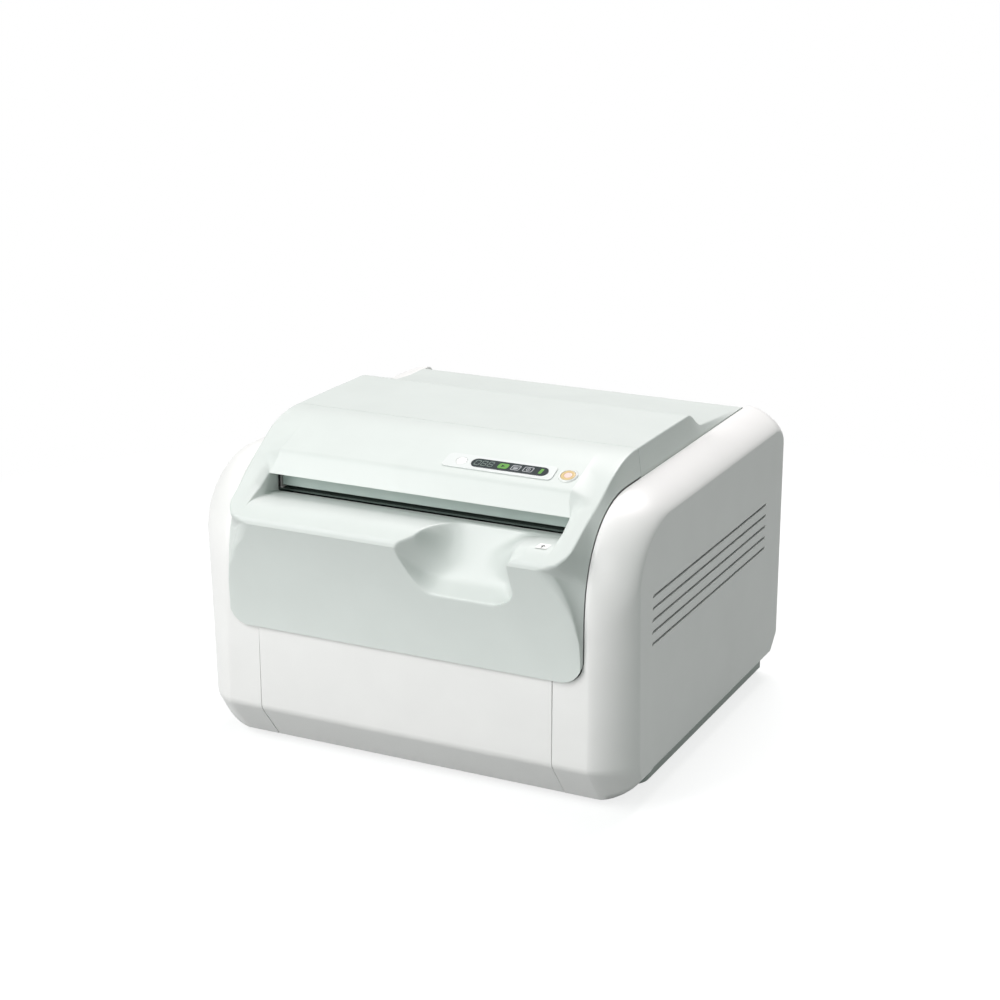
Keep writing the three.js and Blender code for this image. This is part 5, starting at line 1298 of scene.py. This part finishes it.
# Floor, light and camera
studio = {
    "floor": 9.0,
    "floorBounce": "#8e9190",
    "floorGlow": 0.78,
    "shadowReach": (0.75, 1.3),
    "worldTint": "#e2f2ea",
    "worldStrength": 0.29,
    "lampTint": (1.0, 0.965, 0.98),
    "topTint": (1.0, 0.925, 0.955),
    # name, place, aim, width, power and tint
    "lamps": [("topRear", (0.1, 1.2, 2.4), (0, 0, 0.2), 1.4, 55, "topTint"),
              ("topLeft", (-1.2, -2.0, 2.2), (0, 0, 0.2), 1.4, 42, "lampTint"),
              ("frontLeft", (-1.6, -3.0, 1.0), (0, 0, 0.2), 1.8, 47, "lampTint"),
              ("frontRight", (0.85, -1.5, 1.0), (0.2, -0.1, 0.25), 0.7, 5, "lampTint")],
    "camera": (1.11492, -2.26233, 1.07573),
    "aim": (0.00518, 0.0045, 0.27362),
    "lens": 77.62,
    "sensor": 36,
}


def lookAt(thing, place, aim):
    scene.collection.objects.link(thing)
    thing.location = place
    thing.rotation_euler = (Vector(aim) - thing.location).to_track_quat("-Z", "Y").to_euler()


def makeFloor():
    # seen directly or in a reflection the floor is white but for the object's shadow; its bounce stays low
    size = studio["floor"]
    near, end = studio["shadowReach"]
    white = linearColour("#ffffff")
    material, tree, place = newMaterial("studioFloor")
    rays = addNode(tree, "LightPath")
    bounce = addNode(tree, "BsdfDiffuse", Color=linearColour(studio["floorBounce"]))
    glow = addNode(tree, "Emission", Color=white, Strength=studio["floorGlow"])
    shaded = addNode(tree, "AddShader", {0: bounce, 1: glow})
    distance = addNode(tree, "VectorMath", {"Vector": place})
    distance.operation = "LENGTH"
    fade = addNode(tree, "MapRange", {"Value": distance.outputs["Value"]}, From_Min=near, From_Max=end)
    bright = addNode(tree, "MixShader", {0: fade, 1: shaded, 2: addNode(tree, "Emission", Color=white)})
    seen = rays.outputs["Is Camera Ray"]
    for kind in ("Is Glossy Ray", "Is Transmission Ray"):
        seen = addNode(tree, "Math", {0: seen, 1: rays.outputs[kind]})
        seen.operation = "MAXIMUM"
    blend = addNode(tree, "MixShader", {0: seen, 1: bounce, 2: bright})
    addNode(tree, "OutputMaterial", {"Surface": blend})
    mesh = bpy.data.meshes.new("floor")
    corners = [(-size, -size, 0), (size, -size, 0), (size, size, 0), (-size, size, 0)]
    mesh.from_pydata(corners, [], [(0, 1, 2, 3)])
    addObject("floor", mesh, material)


def makeWorld():
    # a soft tinted sky that the camera sees as white
    world = bpy.data.worlds.new("studio")
    scene.world = world
    world.use_nodes = True
    tree = world.node_tree
    tree.nodes.clear()
    soft = addNode(tree, "Background", Color=linearColour(studio["worldTint"]),
                   Strength=studio["worldStrength"])
    white = addNode(tree, "Background", Color=(1, 1, 1, 1), Strength=1.0)
    seen = addNode(tree, "LightPath").outputs["Is Camera Ray"]
    addNode(tree, "OutputWorld", {"Surface": addNode(tree, "MixShader", {0: seen, 1: soft, 2: white})})


def makeLamps():
    for name, place, aim, width, power, tint in studio["lamps"]:
        light = bpy.data.lights.new(name, "AREA")
        light.shape = "DISK"
        light.size = width
        light.energy = power
        light.color = studio[tint]
        lookAt(bpy.data.objects.new(name, light), place, aim)


def makeCamera():
    camera = bpy.data.cameras.new("camera")
    camera.lens = studio["lens"]
    camera.sensor_width = studio["sensor"]
    scene.camera = bpy.data.objects.new("camera", camera)
    lookAt(scene.camera, studio["camera"], studio["aim"])


makeFloor()
makeWorld()
makeLamps()
makeCamera()
scene.view_settings.view_transform = "Standard"
print("studio made")
